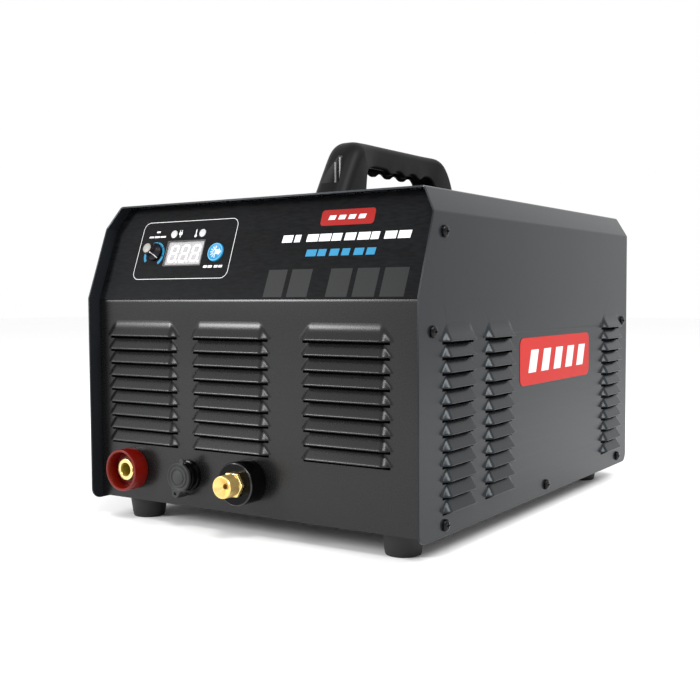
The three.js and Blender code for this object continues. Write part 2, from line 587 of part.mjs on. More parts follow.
// ---- rear services ------------------------------------------------------------------------
function addFan() {
  const face = DEPTH - PANEL_RECESS - SHEET - GAP;
  const depth = 25;
  const half = FAN_SIZE / 2;
  const at = [FAN[0], face, FAN[1]];
  const rim = new THREE.Shape();
  const r = 6;
  [[half - r, -half + r, -0.5], [half - r, half - r, 0], [-half + r, half - r, 0.5], [-half + r, -half + r, 1]]
    .forEach(([x, z, turn]) => rim.absarc(x, z, r, turn * Math.PI, (turn + 0.5) * Math.PI, false));
  const hollow = cut(solid(extrudeY(rim, -depth, 0)), rodY(57.5, -depth - 1, 1, 0, 0, 32));
  const stays = [0, 1, 2, 3].map((i) =>
    box([-59, -3.4, -2.2], [-12, -0.2, 2.2]).rotateY((i / 4 + 0.125) * Math.PI * 2));
  const hub = rodY(18, -3.4, -0.2, 0, 0, 24);
  const frame = [...stays, hub].map(solid).reduce((whole, part) => whole.add(part), hollow);
  place(caseGroup, 'fan_frame', frame, BLACK_PLASTIC, at);

  const rotorHub = rodY(19, -23.5, -4.4, 0, 0, 28);
  const blades = 7;
  let rotor = solid(rotorHub);
  for (let i = 0; i < blades; i += 1) {
    const blade = box([17, -1, -9], [55.5, 1, 9]).rotateX(THREE.MathUtils.degToRad(38))
      .translate(0, -14, 0).rotateY((i / blades) * Math.PI * 2);
    rotor = rotor.add(solid(blade));
  }
  place(caseGroup, 'fan_rotor', rotor, BLACK_PLASTIC, at);
}

function addPowerSwitch() {
  const face = DEPTH - PANEL_RECESS;
  const at = [SWITCH[0], face, SWITCH[1]];
  const bezel = cut(joined(box([-16, GAP, -12.5], [16, 2.6, 12.5]), box([-13.5, -22, -10], [13.5, GAP + 1, 10])),
    box([-10.6, -9, -7.6], [10.6, 4, 7.6]));
  place(caseGroup, 'power_switch', bezel, BLACK_PLASTIC, at);
  const rocker = outline([[-9.4, 0.4], [-9, 3.4], [0, 1.9], [9, 5.8], [9.4, 2.8], [6, -4], [0, -6.4], [-6, -4]]);
  place(caseGroup, 'power_rocker', extrudeZ(rocker, -7.2, 7.2), BLACK_PLASTIC, at);
}

function addServices() {
  const face = DEPTH - PANEL_RECESS;
  const tip = PANEL_RECESS + OVERHANG;
  const inlet = turnedY([[3, -24], [4.6, -24], [5.4, -20], [4.6, -20], [4.6, -14], [7, -14], [7, GAP],
    [11, GAP], [11, 7], [7, 8], [7, 11], [6, 11.6], [6, 20], [5.2, 21], [3, 21], [3, -24]], 16);
  place(caseGroup, 'air_inlet_fitting', inlet, BRASS, [AIR_INLET[0], face, AIR_INLET[1]]);
  const gland = turnedY([[5, -14], [8, -14], [8, GAP], [13, GAP], [13, 6], [11.5, 6.6], [11.5, 18],
    [8, tip - 2], [6.5, tip], [5, tip], [5, -14]], 18);
  place(caseGroup, 'cable_gland', gland, BLACK_PLASTIC, [GLAND[0], face, GLAND[1]]);
}

// ---- inverter and air path inside ---------------------------------------------------------
function addPowerElectronics() {
  const floor = PANEL_BOTTOM + SHEET + GAP;
  const boardTop = 16;
  const legs = [[-118, 150], [48, 150], [-118, 318], [48, 318]]
    .map(([x, y]) => rodZ(4, floor, boardTop - 1, x, y, 10));
  place(caseGroup, 'power_board', joined(box([-126, 142, boardTop - 1.6], [56, 326, boardTop]), ...legs),
    BOARD_GREEN);

  const fins = 11;
  const seat = boardTop + GAP;
  const finsAt = (x) => Array.from({ length: fins }, (_, i) =>
    box([x + i * 6.5, 170, seat + 5], [x + i * 6.5 + 1.6, 300, seat + 46]));
  place(caseGroup, 'heatsink', joined(box([-122, 170, seat], [-122 + fins * 6.5, 300, seat + 7]),
    ...finsAt(-121)), ALUMINIUM);

  const legsOfCore = cut(solid(box([-26, 190, seat], [34, 246, seat + 62])),
    box([-16, 189, seat + 12], [-6, 247, seat + 50]), box([14, 189, seat + 12], [24, 247, seat + 50]));
  place(caseGroup, 'transformer_core', legsOfCore, FERRITE);
  const winding = cut(solid(box([-14.5, 183, seat + 13], [22.5, 253, seat + 49])),
    box([-7, 189.5, seat], [15, 246.5, seat + 60]));
  place(caseGroup, 'transformer_winding', winding, COPPER);

  const choke = turnedZ([[13, 0], [27, 0], [30, 3], [30, 19], [27, 22], [13, 22], [10, 19], [10, 3], [13, 0]], 24);
  place(caseGroup, 'output_choke', choke, COPPER, [8, 292, seat]);
  const can = turnedZ([[0, 0], [17, 0], [17.5, 1], [17.5, 47], [16.5, 48], [0, 48]], 24);
  place(caseGroup, 'capacitor_left', can, BLACK_PLASTIC, [-96, 146 + 4, seat]);
  place(caseGroup, 'capacitor_right', can, BLACK_PLASTIC, [-56, 146 + 4, seat]);
}

function hose(points, radius) {
  const path = new THREE.CatmullRomCurve3(points.map((p) => new THREE.Vector3(...p)));
  const sides = 8;
  const ring = outline(Array.from({ length: sides }, (_, i) =>
    [Math.cos((i / sides) * Math.PI * 2) * radius, Math.sin((i / sides) * Math.PI * 2) * radius]));
  return new THREE.ExtrudeGeometry(ring, { steps: 18, extrudePath: path });
}

function addAirPath() {
  const floor = PANEL_BOTTOM + SHEET + GAP;
  const body = joined(box([86, 120, floor], [122, 156, floor + 24]), rodZ(13, floor + 23, floor + 58, 104, 138, 20),
    rodY(4.5, 108, 121, 104, floor + 12, 12), rodY(4.5, 155, 168, 104, floor + 12, 12));
  place(caseGroup, 'solenoid_valve', body, BRASS);
  const height = floor + 12;
  const inlet = [[AIR_INLET[0], 354, AIR_INLET[1]], [AIR_INLET[0], 330, AIR_INLET[1]], [94, 270, 60],
    [103, 210, height + 4], [104, 169, height]];
  place(caseGroup, 'air_hose_inlet', hose(inlet, 5), HOSE_BLUE);
  const torch = [[104, 107.5, height], [103, 88, height], [86, 66, 20], [50, 60, 24], [18, 58, TORCH_SOCKET[1]],
    [TORCH_SOCKET[0] + 1.5, 48, TORCH_SOCKET[1]], [TORCH_SOCKET[0], 32.6, TORCH_SOCKET[1]]];
  place(caseGroup, 'air_hose_torch', hose(torch, 5), HOSE_BLUE);
}

// ---- assembly -----------------------------------------------------------------------------
place(caseGroup, 'cover', cover(), COVER_PAINT);
place(caseGroup, 'front_panel', frontPanel(), PANEL_PAINT);
place(caseGroup, 'rear_panel', rearPanel(), PANEL_PAINT);
place(caseGroup, 'base_tray', baseTray(), PANEL_PAINT);
for (const [end, y] of [['front', FOOT_INSETS.front], ['rear', DEPTH - FOOT_INSETS.rear]]) {
  for (const [side, x] of [['left', -FOOT_X], ['right', FOOT_X]]) {
    place(caseGroup, `foot_${end}_${side}`, foot(), RUBBER, [x, y, 0]);
  }
}
place(caseGroup, 'carry_handle', handle(), BLACK_PLASTIC, [0, 0, CASE_HEIGHT + GAP]);
handleBolts().forEach((y, i) =>
  place(caseGroup, `handle_screw_${['front', 'rear'][i]}`, handleScrew(), STEEL, [0, y, CASE_HEIGHT]));
for (const [side, sign] of [['left', -1], ['right', 1]]) {
  SCREWS.forEach(([y, z], i) => {
    const screw = place(caseGroup, `cover_screw_${side}_${i + 1}`, coverScrew(), BLACK_PLASTIC,
      [sign * HALF_WIDTH, y, z]);
    screw.rotation.y = sign * Math.PI / 2;
  });
}
addConsole();
addReturnSocket();
addControlSocket();
addTorchConnector();
addFan();
addPowerSwitch();
addServices();
addPowerElectronics();
addAirPath();

export default unit;
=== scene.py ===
"""Looks of the plasma cutting power source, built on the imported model. Lengths below are in millimetres."""
import json
import math

import bmesh
import bpy
from mathutils import Matrix, Vector
from mathutils.geometry import delaunay_2d_cdt


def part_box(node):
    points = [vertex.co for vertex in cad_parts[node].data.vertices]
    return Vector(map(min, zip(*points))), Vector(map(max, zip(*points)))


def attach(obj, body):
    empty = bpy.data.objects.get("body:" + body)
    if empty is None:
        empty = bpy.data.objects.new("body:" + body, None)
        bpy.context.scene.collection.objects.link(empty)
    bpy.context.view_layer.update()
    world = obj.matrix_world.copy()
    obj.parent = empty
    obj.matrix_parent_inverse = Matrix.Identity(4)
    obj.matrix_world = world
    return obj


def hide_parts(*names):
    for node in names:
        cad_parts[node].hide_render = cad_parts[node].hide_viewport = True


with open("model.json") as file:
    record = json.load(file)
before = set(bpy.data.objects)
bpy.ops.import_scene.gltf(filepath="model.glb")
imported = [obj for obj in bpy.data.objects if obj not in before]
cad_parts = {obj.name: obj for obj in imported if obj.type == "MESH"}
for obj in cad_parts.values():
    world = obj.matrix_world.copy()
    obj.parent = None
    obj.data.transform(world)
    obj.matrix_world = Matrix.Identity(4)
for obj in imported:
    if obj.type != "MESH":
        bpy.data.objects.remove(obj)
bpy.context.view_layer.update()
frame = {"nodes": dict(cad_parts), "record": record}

MM = 0.001
COVER_LOW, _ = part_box("cover")

# ---- the unit's main dimensions, as in the CAD model --------------------------------------
SHEET = 1.2
HALF_WIDTH = 145
DEPTH = 390
CASE_HEIGHT = 225.3
CHAMFER_BOTTOM = 208.4
CHAMFER_WIDTH = 10.3
SLOPE_BOTTOM = 154.7
SLOPE_RUN = 26.3
CORNER_RADIUS = 8
PANEL_RECESS = 10.4
PANEL_BOTTOM = 2
PANEL_INSET = 1.8
BEND_HEIGHT = 152.5
LEAN = math.radians(20.42)
LOUVRE_PITCH = 10
LOUVRE_TOP_LIP = 126
LOUVRE_DEPTH = 5.2
LOUVRE_CROWN = 8.6
LOUVRE_END = 5.2
LOUVRE_DRAW = 7
LOUVRE_BLEND = 2
LOUVRE_UPS = (0, 0.08, 0.25, 0.5, 0.8, 1.15, 2, 2.9, 3.8, 4.7, 5.6, 6.4, 7.2, 8.1)
TOP_LOUVRE_UPS = LOUVRE_UPS + (8.8, 9.6, 10.6, 12)
LIP_ROUND = 1.1
SLIT = 1.9
SIDE_COLUMNS = ((28, 76.2), (90.4, 138.2), (321.4, 370.1))
SIDE_ROWS = 12
FRONT_COLUMNS = ((-134, -62), (-50.4, 22), (47.6, 120))
FRONT_ROWS = 9
RETURN_SOCKET = (-110.6, 25.4)
CONTROL_SOCKET = (-53.6, 25.3)
TORCH_SOCKET = (2.5, 26.4)
CAP_TURN = math.radians(15)
KNOB = (-96.9, 38.6)
KNOB_HEIGHT = 9
DISPLAY = (-66.9, 37.2)
BUTTON = (-36, 37)
BUTTON_RADIUS = 7.1
LAMPS = ((-81.2, 52.8), (-53.1, 52.8))
POINTER_ANGLE = math.radians(-45)
FILM_TOP = 0.8
FAN = (-52, 112)
FAN_HOLES = 52.5
SWITCH = (88, 158)
AIR_INLET = (88, 100)
GLAND = (88, 46)
OVERHANG = 19.8
SEAT = 0.3 - PANEL_RECESS
COVER_SCREWS = ((32.8, 196.1), (17.2, 132.8), (33.4, 7.6), (199.6, 7.6), (365, 7.6), (375.5, 131))
SCREW_HEAD = (4, 2.4)
FOOT_X = 115
FOOT_ROWS = (("front", 31.4), ("rear", 355))
HANDLE_FRONT, HANDLE_REAR, HANDLE_HEIGHT = 103.5, 309, 51.8
HOLLOW_HEIGHT, FINGER_TIP = 32.6, 29.3
POCKET_FLOOR = 17.3
LEG_HALF, GRIP_HALF, REAR_HALF = 15, 11, 13.5
FINGER_PITCH = 23.7


# ---- places -------------------------------------------------------------------------------
def case(x, y, z):
    """Y from the cover's front edge and Z from its bottom edge, to the row frame in metres."""
    return Vector((x * MM, COVER_LOW.y + y * MM, COVER_LOW.z + z * MM))


def console(x, up, out):
    """Across, up the slope from the bend, and out of the panel."""
    return case(x, PANEL_RECESS + up * math.sin(LEAN) - out * math.cos(LEAN),
                BEND_HEIGHT + up * math.cos(LEAN) + out * math.sin(LEAN))


def side_of(sign):
    return lambda along, up, out: case(sign * (HALF_WIDTH + out), along, up)


def front(along, up, out):
    return case(along, PANEL_RECESS - out, up)


def rear(along, up, out):
    return case(along, DEPTH - PANEL_RECESS + out, up)


# ---- materials ----------------------------------------------------------------------------
def finish(name, colour, rough, metallic=0.0, spread=0.12, grain=900, cloud=14, bump=0.15, depth=0.05,
           stretch=(1, 1, 1), coat=0.0, specular=0.5, alpha=1.0, rough_spread=0.06, sheen=(1, 1, 1)):
    """A procedural surface: fine grain and soft clouds in its colour, grain in its gloss and relief."""
    made = bpy.data.materials.new(name)
    made.use_nodes = True
    nodes, links = made.node_tree.nodes, made.node_tree.links
    shader = nodes["Principled BSDF"]
    shader.inputs["Metallic"].default_value = metallic
    shader.inputs["Specular IOR Level"].default_value = specular
    shader.inputs["Specular Tint"].default_value = (*sheen, 1)
    shader.inputs["Coat Weight"].default_value = coat
    shader.inputs["Coat Roughness"].default_value = 0.12
    shader.inputs["Alpha"].default_value = alpha
    place = nodes.new("ShaderNodeTexCoord")
    scaled = nodes.new("ShaderNodeMapping")
    scaled.inputs["Scale"].default_value = stretch
    links.new(place.outputs["Object"], scaled.inputs["Vector"])

    def noise(scale, detail):
        texture = nodes.new("ShaderNodeTexNoise")
        texture.inputs["Scale"].default_value = scale
        texture.inputs["Detail"].default_value = detail
        links.new(scaled.outputs["Vector"], texture.inputs["Vector"])
        return texture.outputs["Fac"]

    fine, broad = noise(grain, 3), noise(cloud, 2)
    blend = nodes.new("ShaderNodeMath")
    blend.operation = "MULTIPLY_ADD"
    links.new(broad, blend.inputs[0])
    blend.inputs[1].default_value = 0.5
    links.new(fine, blend.inputs[2])
    ramp = nodes.new("ShaderNodeValToRGB")
    low, high = ramp.color_ramp.elements
    low.position, high.position = 0.45, 1.05
    low.color = (*(c * (1 - spread) for c in colour), 1)
    high.color = (*(min(1, c * (1 + spread)) for c in colour), 1)
    links.new(blend.outputs[0], ramp.inputs["Fac"])
    links.new(ramp.outputs["Color"], shader.inputs["Base Color"])
    gloss = nodes.new("ShaderNodeMapRange")
    gloss.inputs["To Min"].default_value = max(0.02, rough - rough_spread)
    gloss.inputs["To Max"].default_value = min(1, rough + rough_spread)
    links.new(fine, gloss.inputs["Value"])
    links.new(gloss.outputs["Result"], shader.inputs["Roughness"])
    relief = nodes.new("ShaderNodeBump")
    relief.inputs["Strength"].default_value = bump
    relief.inputs["Distance"].default_value = depth * MM
    links.new(fine, relief.inputs["Height"])
    links.new(relief.outputs["Normal"], shader.inputs["Normal"])
    return made


COVER_PAINT = finish("cover_paint", (0.0105, 0.0118, 0.0138), 0.24, bump=0.3, grain=1500, spread=0.14,
                     specular=0.19, rough_spread=0.04, sheen=(0.9, 0.97, 1))
PANEL_PAINT = finish("panel_paint", (0.0050, 0.0051, 0.0052), 0.27, bump=0.4, grain=1300, spread=0.3,
                     specular=0.3, rough_spread=0.04)
# Near-black colour for the sheets behind the louvres: painted shade for the dark inside of the unit.
SHADE_SCREEN_BLACK = finish("painted_shade_screen_black", (0.0008, 0.0008, 0.0008), 0.8, bump=0.3, grain=600, spread=0.3,
                      specular=0.05)
FILM_BLACK = finish("console_film", (0.0035, 0.0038, 0.0043), 0.5, bump=0.4, grain=420, spread=0.8,
                    stretch=(0.35, 1.6, 1.6), specular=0.05)
HANDLE_BLACK = finish("handle_plastic", (0.0040, 0.0040, 0.0042), 0.42, bump=0.3, grain=1600, spread=0.2,
                      specular=0.09)
# Much lighter than the handle plastic: painted highlight stripes for the pocket ribs.
RIB_PAINTED_HIGHLIGHT = finish("pocket_rib_painted_highlight", (0.065, 0.065, 0.067), 0.3, bump=0.2, grain=1600, spread=0.2,
                   specular=0.5)
# A lighter, glossier copy of the handle plastic for the pocket's upright walls: painted light on those walls.
POCKET_WALL_PAINTED_LIGHT = finish("pocket_wall_painted_light", (0.018, 0.018, 0.0185), 0.35, bump=0.2, grain=1600, spread=0.2,
                      specular=0.4)
FOOT_RUBBER = finish("foot_rubber", (0.011, 0.011, 0.011), 0.55, bump=0.4, grain=900, spread=0.2,
                     specular=0.3)
CAP_RUBBER = finish("cap_rubber", (0.020, 0.0205, 0.0215), 0.5, bump=0.25, grain=1100, spread=0.12,
                    specular=0.28)
SCREW_BLACK = finish("screw_black", (0.0015, 0.0015, 0.002), 0.17, bump=0.15, grain=800, spread=0.3,
                     specular=0.16)
SOCKET_RED = finish("socket_red", (0.12, 0.003, 0.001), 0.3, bump=0.08, grain=500, spread=0.12,
                    specular=0.28)
BRASS = finish("brass", (0.84, 0.64, 0.27), 0.22, metallic=0.85, bump=0.1, grain=700, spread=0.06)
BRASS_TURNED = finish("brass_turned", (0.79, 0.56, 0.2), 0.3, metallic=0.76, bump=0.25, grain=500,
                      spread=0.06, stretch=(1, 8, 1))
BORE_SHADE = finish("bore_shade", (0.28, 0.21, 0.015), 0.4, metallic=0.3, grain=300, bump=0.5)
CONNECTOR_BLACK = finish("connector_black", (0.007, 0.007, 0.0075), 0.3, bump=0.12, grain=700, spread=0.3)
GLOSS_BLACK = finish("gloss_black", (0.0014, 0.0014, 0.0016), 0.14, bump=0.05, grain=700, spread=0.3,
                     specular=0.09)
GLOSS_EDGE = finish("gloss_edge", (0.0016, 0.0016, 0.0018), 0.2, bump=0.05, grain=700, spread=0.3,
                    specular=0.5)
KNOB_BLACK = finish("knob_plastic", (0.0045, 0.0037, 0.0057), 0.35, bump=0.2, grain=1400, spread=0.2,
                    specular=0.22)
CAP_GREY = finish("knob_cap_grey", (0.22, 0.215, 0.19), 0.45, bump=0.15, grain=1200)
PRINT_WHITE = finish("print_white", (0.62, 0.63, 0.64), 0.5, bump=0.1, grain=1500, spread=0.05)
PRINT_GREY = finish("print_grey", (0.011, 0.0115, 0.012), 0.5, bump=0.2, grain=900, spread=0.2,
                    specular=0.16)
PRINT_BLUE = finish("print_blue", (0.008, 0.17, 0.32), 0.45, bump=0.1, grain=1300, spread=0.08,
                    specular=0.25)
PRINT_RED = finish("print_red", (0.26, 0.008, 0.006), 0.42, bump=0.1, grain=1200, spread=0.08,
                   specular=0.13)
# The side plates' red is a lighter copy of the console print red: painted light for the brighter lit sides.
BADGE_RED_LIT = finish("badge_red", (0.40, 0.014, 0.010), 0.42, bump=0.1, grain=1200, spread=0.08,
                   specular=0.13)
BUTTON_BLUE = finish("button_blue", (0.010, 0.19, 0.37), 0.38, bump=0.15, grain=1200, spread=0.08,
                     specular=0.3)
BUTTON_RIM = finish("button_rim", (0.06, 0.33, 0.55), 0.34, bump=0.1, grain=1200, spread=0.06)
LAMP_LENS = finish("lamp_lens", (0.42, 0.43, 0.43), 0.35, bump=0.1, grain=900, spread=0.08)
DISPLAY_FACE = finish("display_face", (0.27, 0.26, 0.265), 0.5, bump=0.08, grain=900, spread=0.06,
                      specular=0.3)
DIGIT_WHITE = finish("digit_white", (0.95, 0.94, 0.94), 0.4, bump=0.05, grain=900, spread=0.03)
CLEAR = finish("clear_window", (0.95, 0.95, 0.96), 0.12, bump=0.03, grain=300, spread=0.02, alpha=0.06)
STEEL = finish("steel", (0.60, 0.61, 0.63), 0.32, metallic=1, bump=0.15, grain=600)
ALUMINIUM = finish("aluminium", (0.75, 0.76, 0.77), 0.38, metallic=1, bump=0.2, grain=500,
                   stretch=(1, 0.1, 1))
FERRITE = finish("ferrite", (0.032, 0.034, 0.038), 0.7, bump=0.5, grain=500)
COPPER = finish("copper", (0.70, 0.29, 0.13), 0.3, metallic=1, bump=0.8, grain=260, depth=0.4,
                stretch=(0.2, 0.2, 3))
BOARD = finish("board_green", (0.012, 0.10, 0.042), 0.35, bump=0.2, grain=260, coat=0.3, spread=0.35)
SLEEVE = finish("capacitor_sleeve", (0.012, 0.016, 0.035), 0.3, bump=0.1, grain=400)
HOSE = finish("hose_blue", (0.02, 0.09, 0.33), 0.35, bump=0.1, grain=500)
FLOOR_PALE = finish("floor_pale", (0.96, 0.96, 0.96), 0.85, bump=0.05, grain=60, cloud=2, spread=0.01,
                    specular=0.05)


# ---- making pieces ------------------------------------------------------------------------
def piece(name, points, faces, material, body="case", slot=None, replaces=(), angle=32):
    """A mesh piece from points in metres, smooth where its faces meet at less than angle degrees."""
    mesh = bpy.data.meshes.new(name)
    mesh.from_pydata([tuple(p) for p in points], [], faces)
    shell = bmesh.new()
    shell.from_mesh(mesh)
    bmesh.ops.remove_doubles(shell, verts=shell.verts, dist=1e-6)
    shell.to_mesh(mesh)
    shell.free()
    mesh.shade_smooth()
    mesh.set_sharp_from_angle(angle=math.radians(angle))
    mesh.materials.append(material)
    made = bpy.data.objects.new(name, mesh)
    bpy.context.scene.collection.objects.link(made)
    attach(made, body)
    if replaces:
        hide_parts(*replaces)
    return made


def outward(made):
    """Turns a closed piece's faces outwards."""
    shell = bmesh.new()
    shell.from_mesh(made.data)
    bmesh.ops.recalc_face_normals(shell, faces=shell.faces)
    shell.to_mesh(made.data)
    shell.free()
    return made


def soften(made, width, segments=3, angle=35):
    """Rounds the edges that are sharper than angle degrees."""
    rounding = made.modifiers.new("rounded_edges", "BEVEL")
    rounding.width = width * MM
    rounding.segments = segments
    rounding.limit_method = "ANGLE"
    rounding.angle_limit = math.radians(angle)
    rounding.harden_normals = True
    return made


def thicken(made, thickness):
    sheet = made.modifiers.new("sheet", "SOLIDIFY")
    sheet.thickness = thickness * MM
    sheet.offset = -1
    return made


def ring(points, centre=(0, 0)):
    return [(x + centre[0], y + centre[1]) for x, y in points]


def circle(radius, sides=32, start=0.0, sweep=2 * math.pi):
    full = abs(sweep - 2 * math.pi) < 1e-9
    steps = sides if full else sides + 1
    return [(radius * math.cos(start + sweep * i / sides), radius * math.sin(start + sweep * i / sides))
            for i in range(steps)]


def rounded(width, height, radius, sides=6):
    """A rectangle with round corners about the origin, counter-clockwise."""
    points = []
    for turn, (sx, sy) in enumerate(((1, -1), (1, 1), (-1, 1), (-1, -1))):
        centre = (sx * (width / 2 - radius), sy * (height / 2 - radius))
        points += ring(circle(radius, sides, (turn - 1) * math.pi / 2, math.pi / 2), centre)
    return points


class Sketch:
    """Flat shapes with a thickness, gathered into one piece."""

    def __init__(self, at):
        self.at, self.points, self.faces = at, [], []

    def slab(self, loop, low, high):
        first, n = len(self.points), len(loop)
        for out in (low, high):
            self.points += [self.at(x, y, out) for x, y in loop]
        self.faces.append(list(range(first + n, first + 2 * n)))
        self.faces.append(list(range(first + n - 1, first - 1, -1)))
        for i in range(n):
            j = (i + 1) % n
            self.faces.append((first + i, first + j, first + n + j, first + n + i))
        return self

    def band(self, outer, inner, low, high, closed=True):
        """The strip between two loops with as many points each."""
        first, n = len(self.points), len(outer)
        for loop, out in ((outer, low), (outer, high), (inner, high), (inner, low)):
            self.points += [self.at(x, y, out) for x, y in loop]
        for i in range(n if closed else n - 1):
            j = (i + 1) % n
            for k in range(4):
                a, b = first + k * n, first + (k + 1) % 4 * n
                self.faces.append((a + i, a + j, b + j, b + i))
        if not closed:
            self.faces.append([first + k * n for k in (0, 1, 2, 3)])
            self.faces.append([first + k * n + n - 1 for k in (3, 2, 1, 0)])
        return self

    def make(self, name, material, **rest):
        return outward(piece(name, self.points, self.faces, material, **rest))


def lathe(name, profile, at, material, sides=72, radius_at=None, closed=True, **rest):
    """A turned piece. profile lists (radius, height); at maps (across, up, out) with out along the axis."""
    points, faces = [], []
    for r, h in profile:
        for i in range(sides):
            turn = 2 * math.pi * i / sides
            reach = radius_at(r, h, turn) if radius_at else r
            points.append(at(reach * math.cos(turn), reach * math.sin(turn), h))
    rows = len(profile)
    for k in range(rows if closed else rows - 1):
        a, b = k * sides, (k + 1) % rows * sides
        faces += [(a + i, a + (i + 1) % sides, b + (i + 1) % sides, b + i) for i in range(sides)]
    return outward(piece(name, points, faces, material, **rest))


def around(place, centre):
    """A place function moved to a centre."""
    return lambda x, y, out: place(x + centre[0], y + centre[1], out)


def socket(axis, turn=0.0):
    """Across, up and out from the axis of a front connector; out is counted from the cover's front edge."""
    c, s = math.cos(turn), math.sin(turn)
    return lambda across, up, out: case(axis[0] + across * c + up * s, -out, axis[1] - across * s + up * c)


def prism(name, loop, low, high, at, material, **rest):
    return Sketch(at).slab(loop, low, high).make(name, material, **rest)


def applied(made):
    """Replaces a piece's mesh with the result of its modifiers."""
    evaluated = made.evaluated_get(bpy.context.evaluated_depsgraph_get())
    mesh = bpy.data.meshes.new_from_object(evaluated)
    made.modifiers.clear()
    made.data = mesh
    return made


def carve(made, *tools):
    """Cuts tools out of a piece, then removes them."""
    for tool in tools:
        cut = made.modifiers.new("cut", "BOOLEAN")
        cut.operation = "DIFFERENCE"
        cut.solver = "EXACT"
        cut.object = tool
    applied(made)
    for tool in tools:
        bpy.data.objects.remove(tool)
    return made


# ---- pressed sheet ------------------------------------------------------------------------
def soft_min(a, b, reach):
    """The lesser of two values, rounded off where they are within reach of each other."""
    near = max(reach - abs(a - b), 0) / reach
    return min(a, b) - near * near * reach / 4


def louvre_height(along, up, length, blend):
    """How far a louvre stands out: a ramp down to its rolled lip, with a slanted facet at each end."""
    ramp = LOUVRE_DEPTH * (1 - up / LOUVRE_CROWN)
    drawn = LOUVRE_DRAW * up / LOUVRE_CROWN
    ends = [LOUVRE_DEPTH * (s - drawn) / LOUVRE_END for s in (along, length - along)]
    facets = soft_min(soft_min(ramp, ends[0], LOUVRE_BLEND), ends[1], LOUVRE_BLEND)
    height = -soft_min(-facets, 0, blend)
    curl = max(0, 1 - up / LIP_ROUND)
    return height - LIP_ROUND * (1 - math.sqrt(1 - curl * curl)) * min(1, max(0, height) / 2)


def louvre_steps(length):
    near = [-0.8 + 0.75 * i for i in range(16)]
    middle = [near[-1] + (length - 2 * near[-1]) * i / 5 for i in range(1, 5)]
    return near + middle + [length - s for s in reversed(near)]


def pressed_sheet(outline, holes, columns, rows, at, slots=()):
    """Points and faces of a flat sheet with louvres, holes and slots; the faces look along out."""
    loops, points, faces = [outline, *holes], [], []
    for start, end in columns:
        alongs = louvre_steps(end - start)
        for row in range(rows):
            lip = LOUVRE_TOP_LIP - row * LOUVRE_PITCH
            # the top louvre runs out softly into the sheet above it
            ups, blend = (LOUVRE_UPS, 0.4) if row else (TOP_LOUVRE_UPS, 2.2)
            loops.append([(start + s, lip) for s in alongs]
                         + [(start + alongs[-1], lip + u) for u in ups[1:-1]]
                         + [(start + s, lip + ups[-1]) for s in reversed(alongs)]
                         + [(start + alongs[0], lip + u) for u in reversed(ups[1:-1])])
            loops.append(box_loop(start + 2, lip - SLIT, end - 2, lip))
            first, wide = len(points), len(alongs)
            for up in ups:
                points += [at(start + s, lip + up, max(0, louvre_height(s, up, end - start, blend)))
                           for s in alongs]
            for j in range(len(ups) - 1):
                for i in range(wide - 1):
                    corner = first + j * wide + i
                    faces.append((corner, corner + 1, corner + wide + 1, corner + wide))
    loops += slots
    flat, edges = [], []
    for loop in loops:
        first, n = len(flat), len(loop)
        flat += [Vector(p) for p in loop]
        edges += [(first + i, first + (i + 1) % n) for i in range(n)]
    flat, _, cells, *_ = delaunay_2d_cdt(flat, edges, [], 0, 1e-6)
    boxes = [(*(f(x for x, _ in loop) for f in (min, max)), *(f(y for _, y in loop) for f in (min, max)))
             for loop in loops]
    first = len(points)
    points += [at(p.x, p.y, 0) for p in flat]
    for cell in cells:
        middle = sum((flat[i] for i in cell), Vector((0, 0))) / len(cell)
        if inside(middle, outline) and not any(
                b[0] < middle.x < b[1] and b[2] < middle.y < b[3] and inside(middle, loop)
                for loop, b in zip(loops[1:], boxes[1:])):
            faces.append(tuple(first + i for i in cell))
    look = (at(0, 0, 1) - at(0, 0, 0)).normalized()
    for i, face in enumerate(faces):
        a, b, c = (points[k] for k in face[:3])
        if (b - a).cross(c - b).dot(look) < 0:
            faces[i] = tuple(reversed(face))
    return points, faces


def painted_shade_screen(name, columns, rows, at):
    """Black sheets just behind the louvres: painted shade for the dark inside seen through the slots."""
    screen = Sketch(at)
    for start, end in columns:
        low = LOUVRE_TOP_LIP - (rows - 1) * LOUVRE_PITCH - 3.5
        screen.slab(box_loop(start - 1.5, low, end + 1.5, LOUVRE_TOP_LIP + 4), -3.7, -3.2)
    screen.make(name, SHADE_SCREEN_BLACK, slot="panel_paint")


def inside(point, loop):
    """Whether a point is inside a closed loop."""
    crossed = False
    for (x0, y0), (x1, y1) in zip(loop, loop[1:] + loop[:1]):
        if (y0 > point.y) != (y1 > point.y) and point.x < (x1 - x0) * (point.y - y0) / (y1 - y0) + x0:
            crossed = not crossed
    return crossed


def fillet(before, corner, after, radius, steps=5):
    """The arc that rounds a corner."""
    c, p, q = Vector(corner), Vector(before), Vector(after)
    u, v = (p - c).normalized(), (q - c).normalized()
    half = u.angle(v) / 2
    centre = c + (u + v).normalized() * radius / math.sin(half)
    start, end = c + u * radius / math.tan(half) - centre, c + v * radius / math.tan(half) - centre
    turn = start.angle_signed(end)
    return [tuple(centre + Matrix.Rotation(-turn * i / steps, 2) @ start) for i in range(steps + 1)]


def slope_at(up):
    return max(0, (up - SLOPE_BOTTOM) * SLOPE_RUN / (CASE_HEIGHT - SLOPE_BOTTOM))


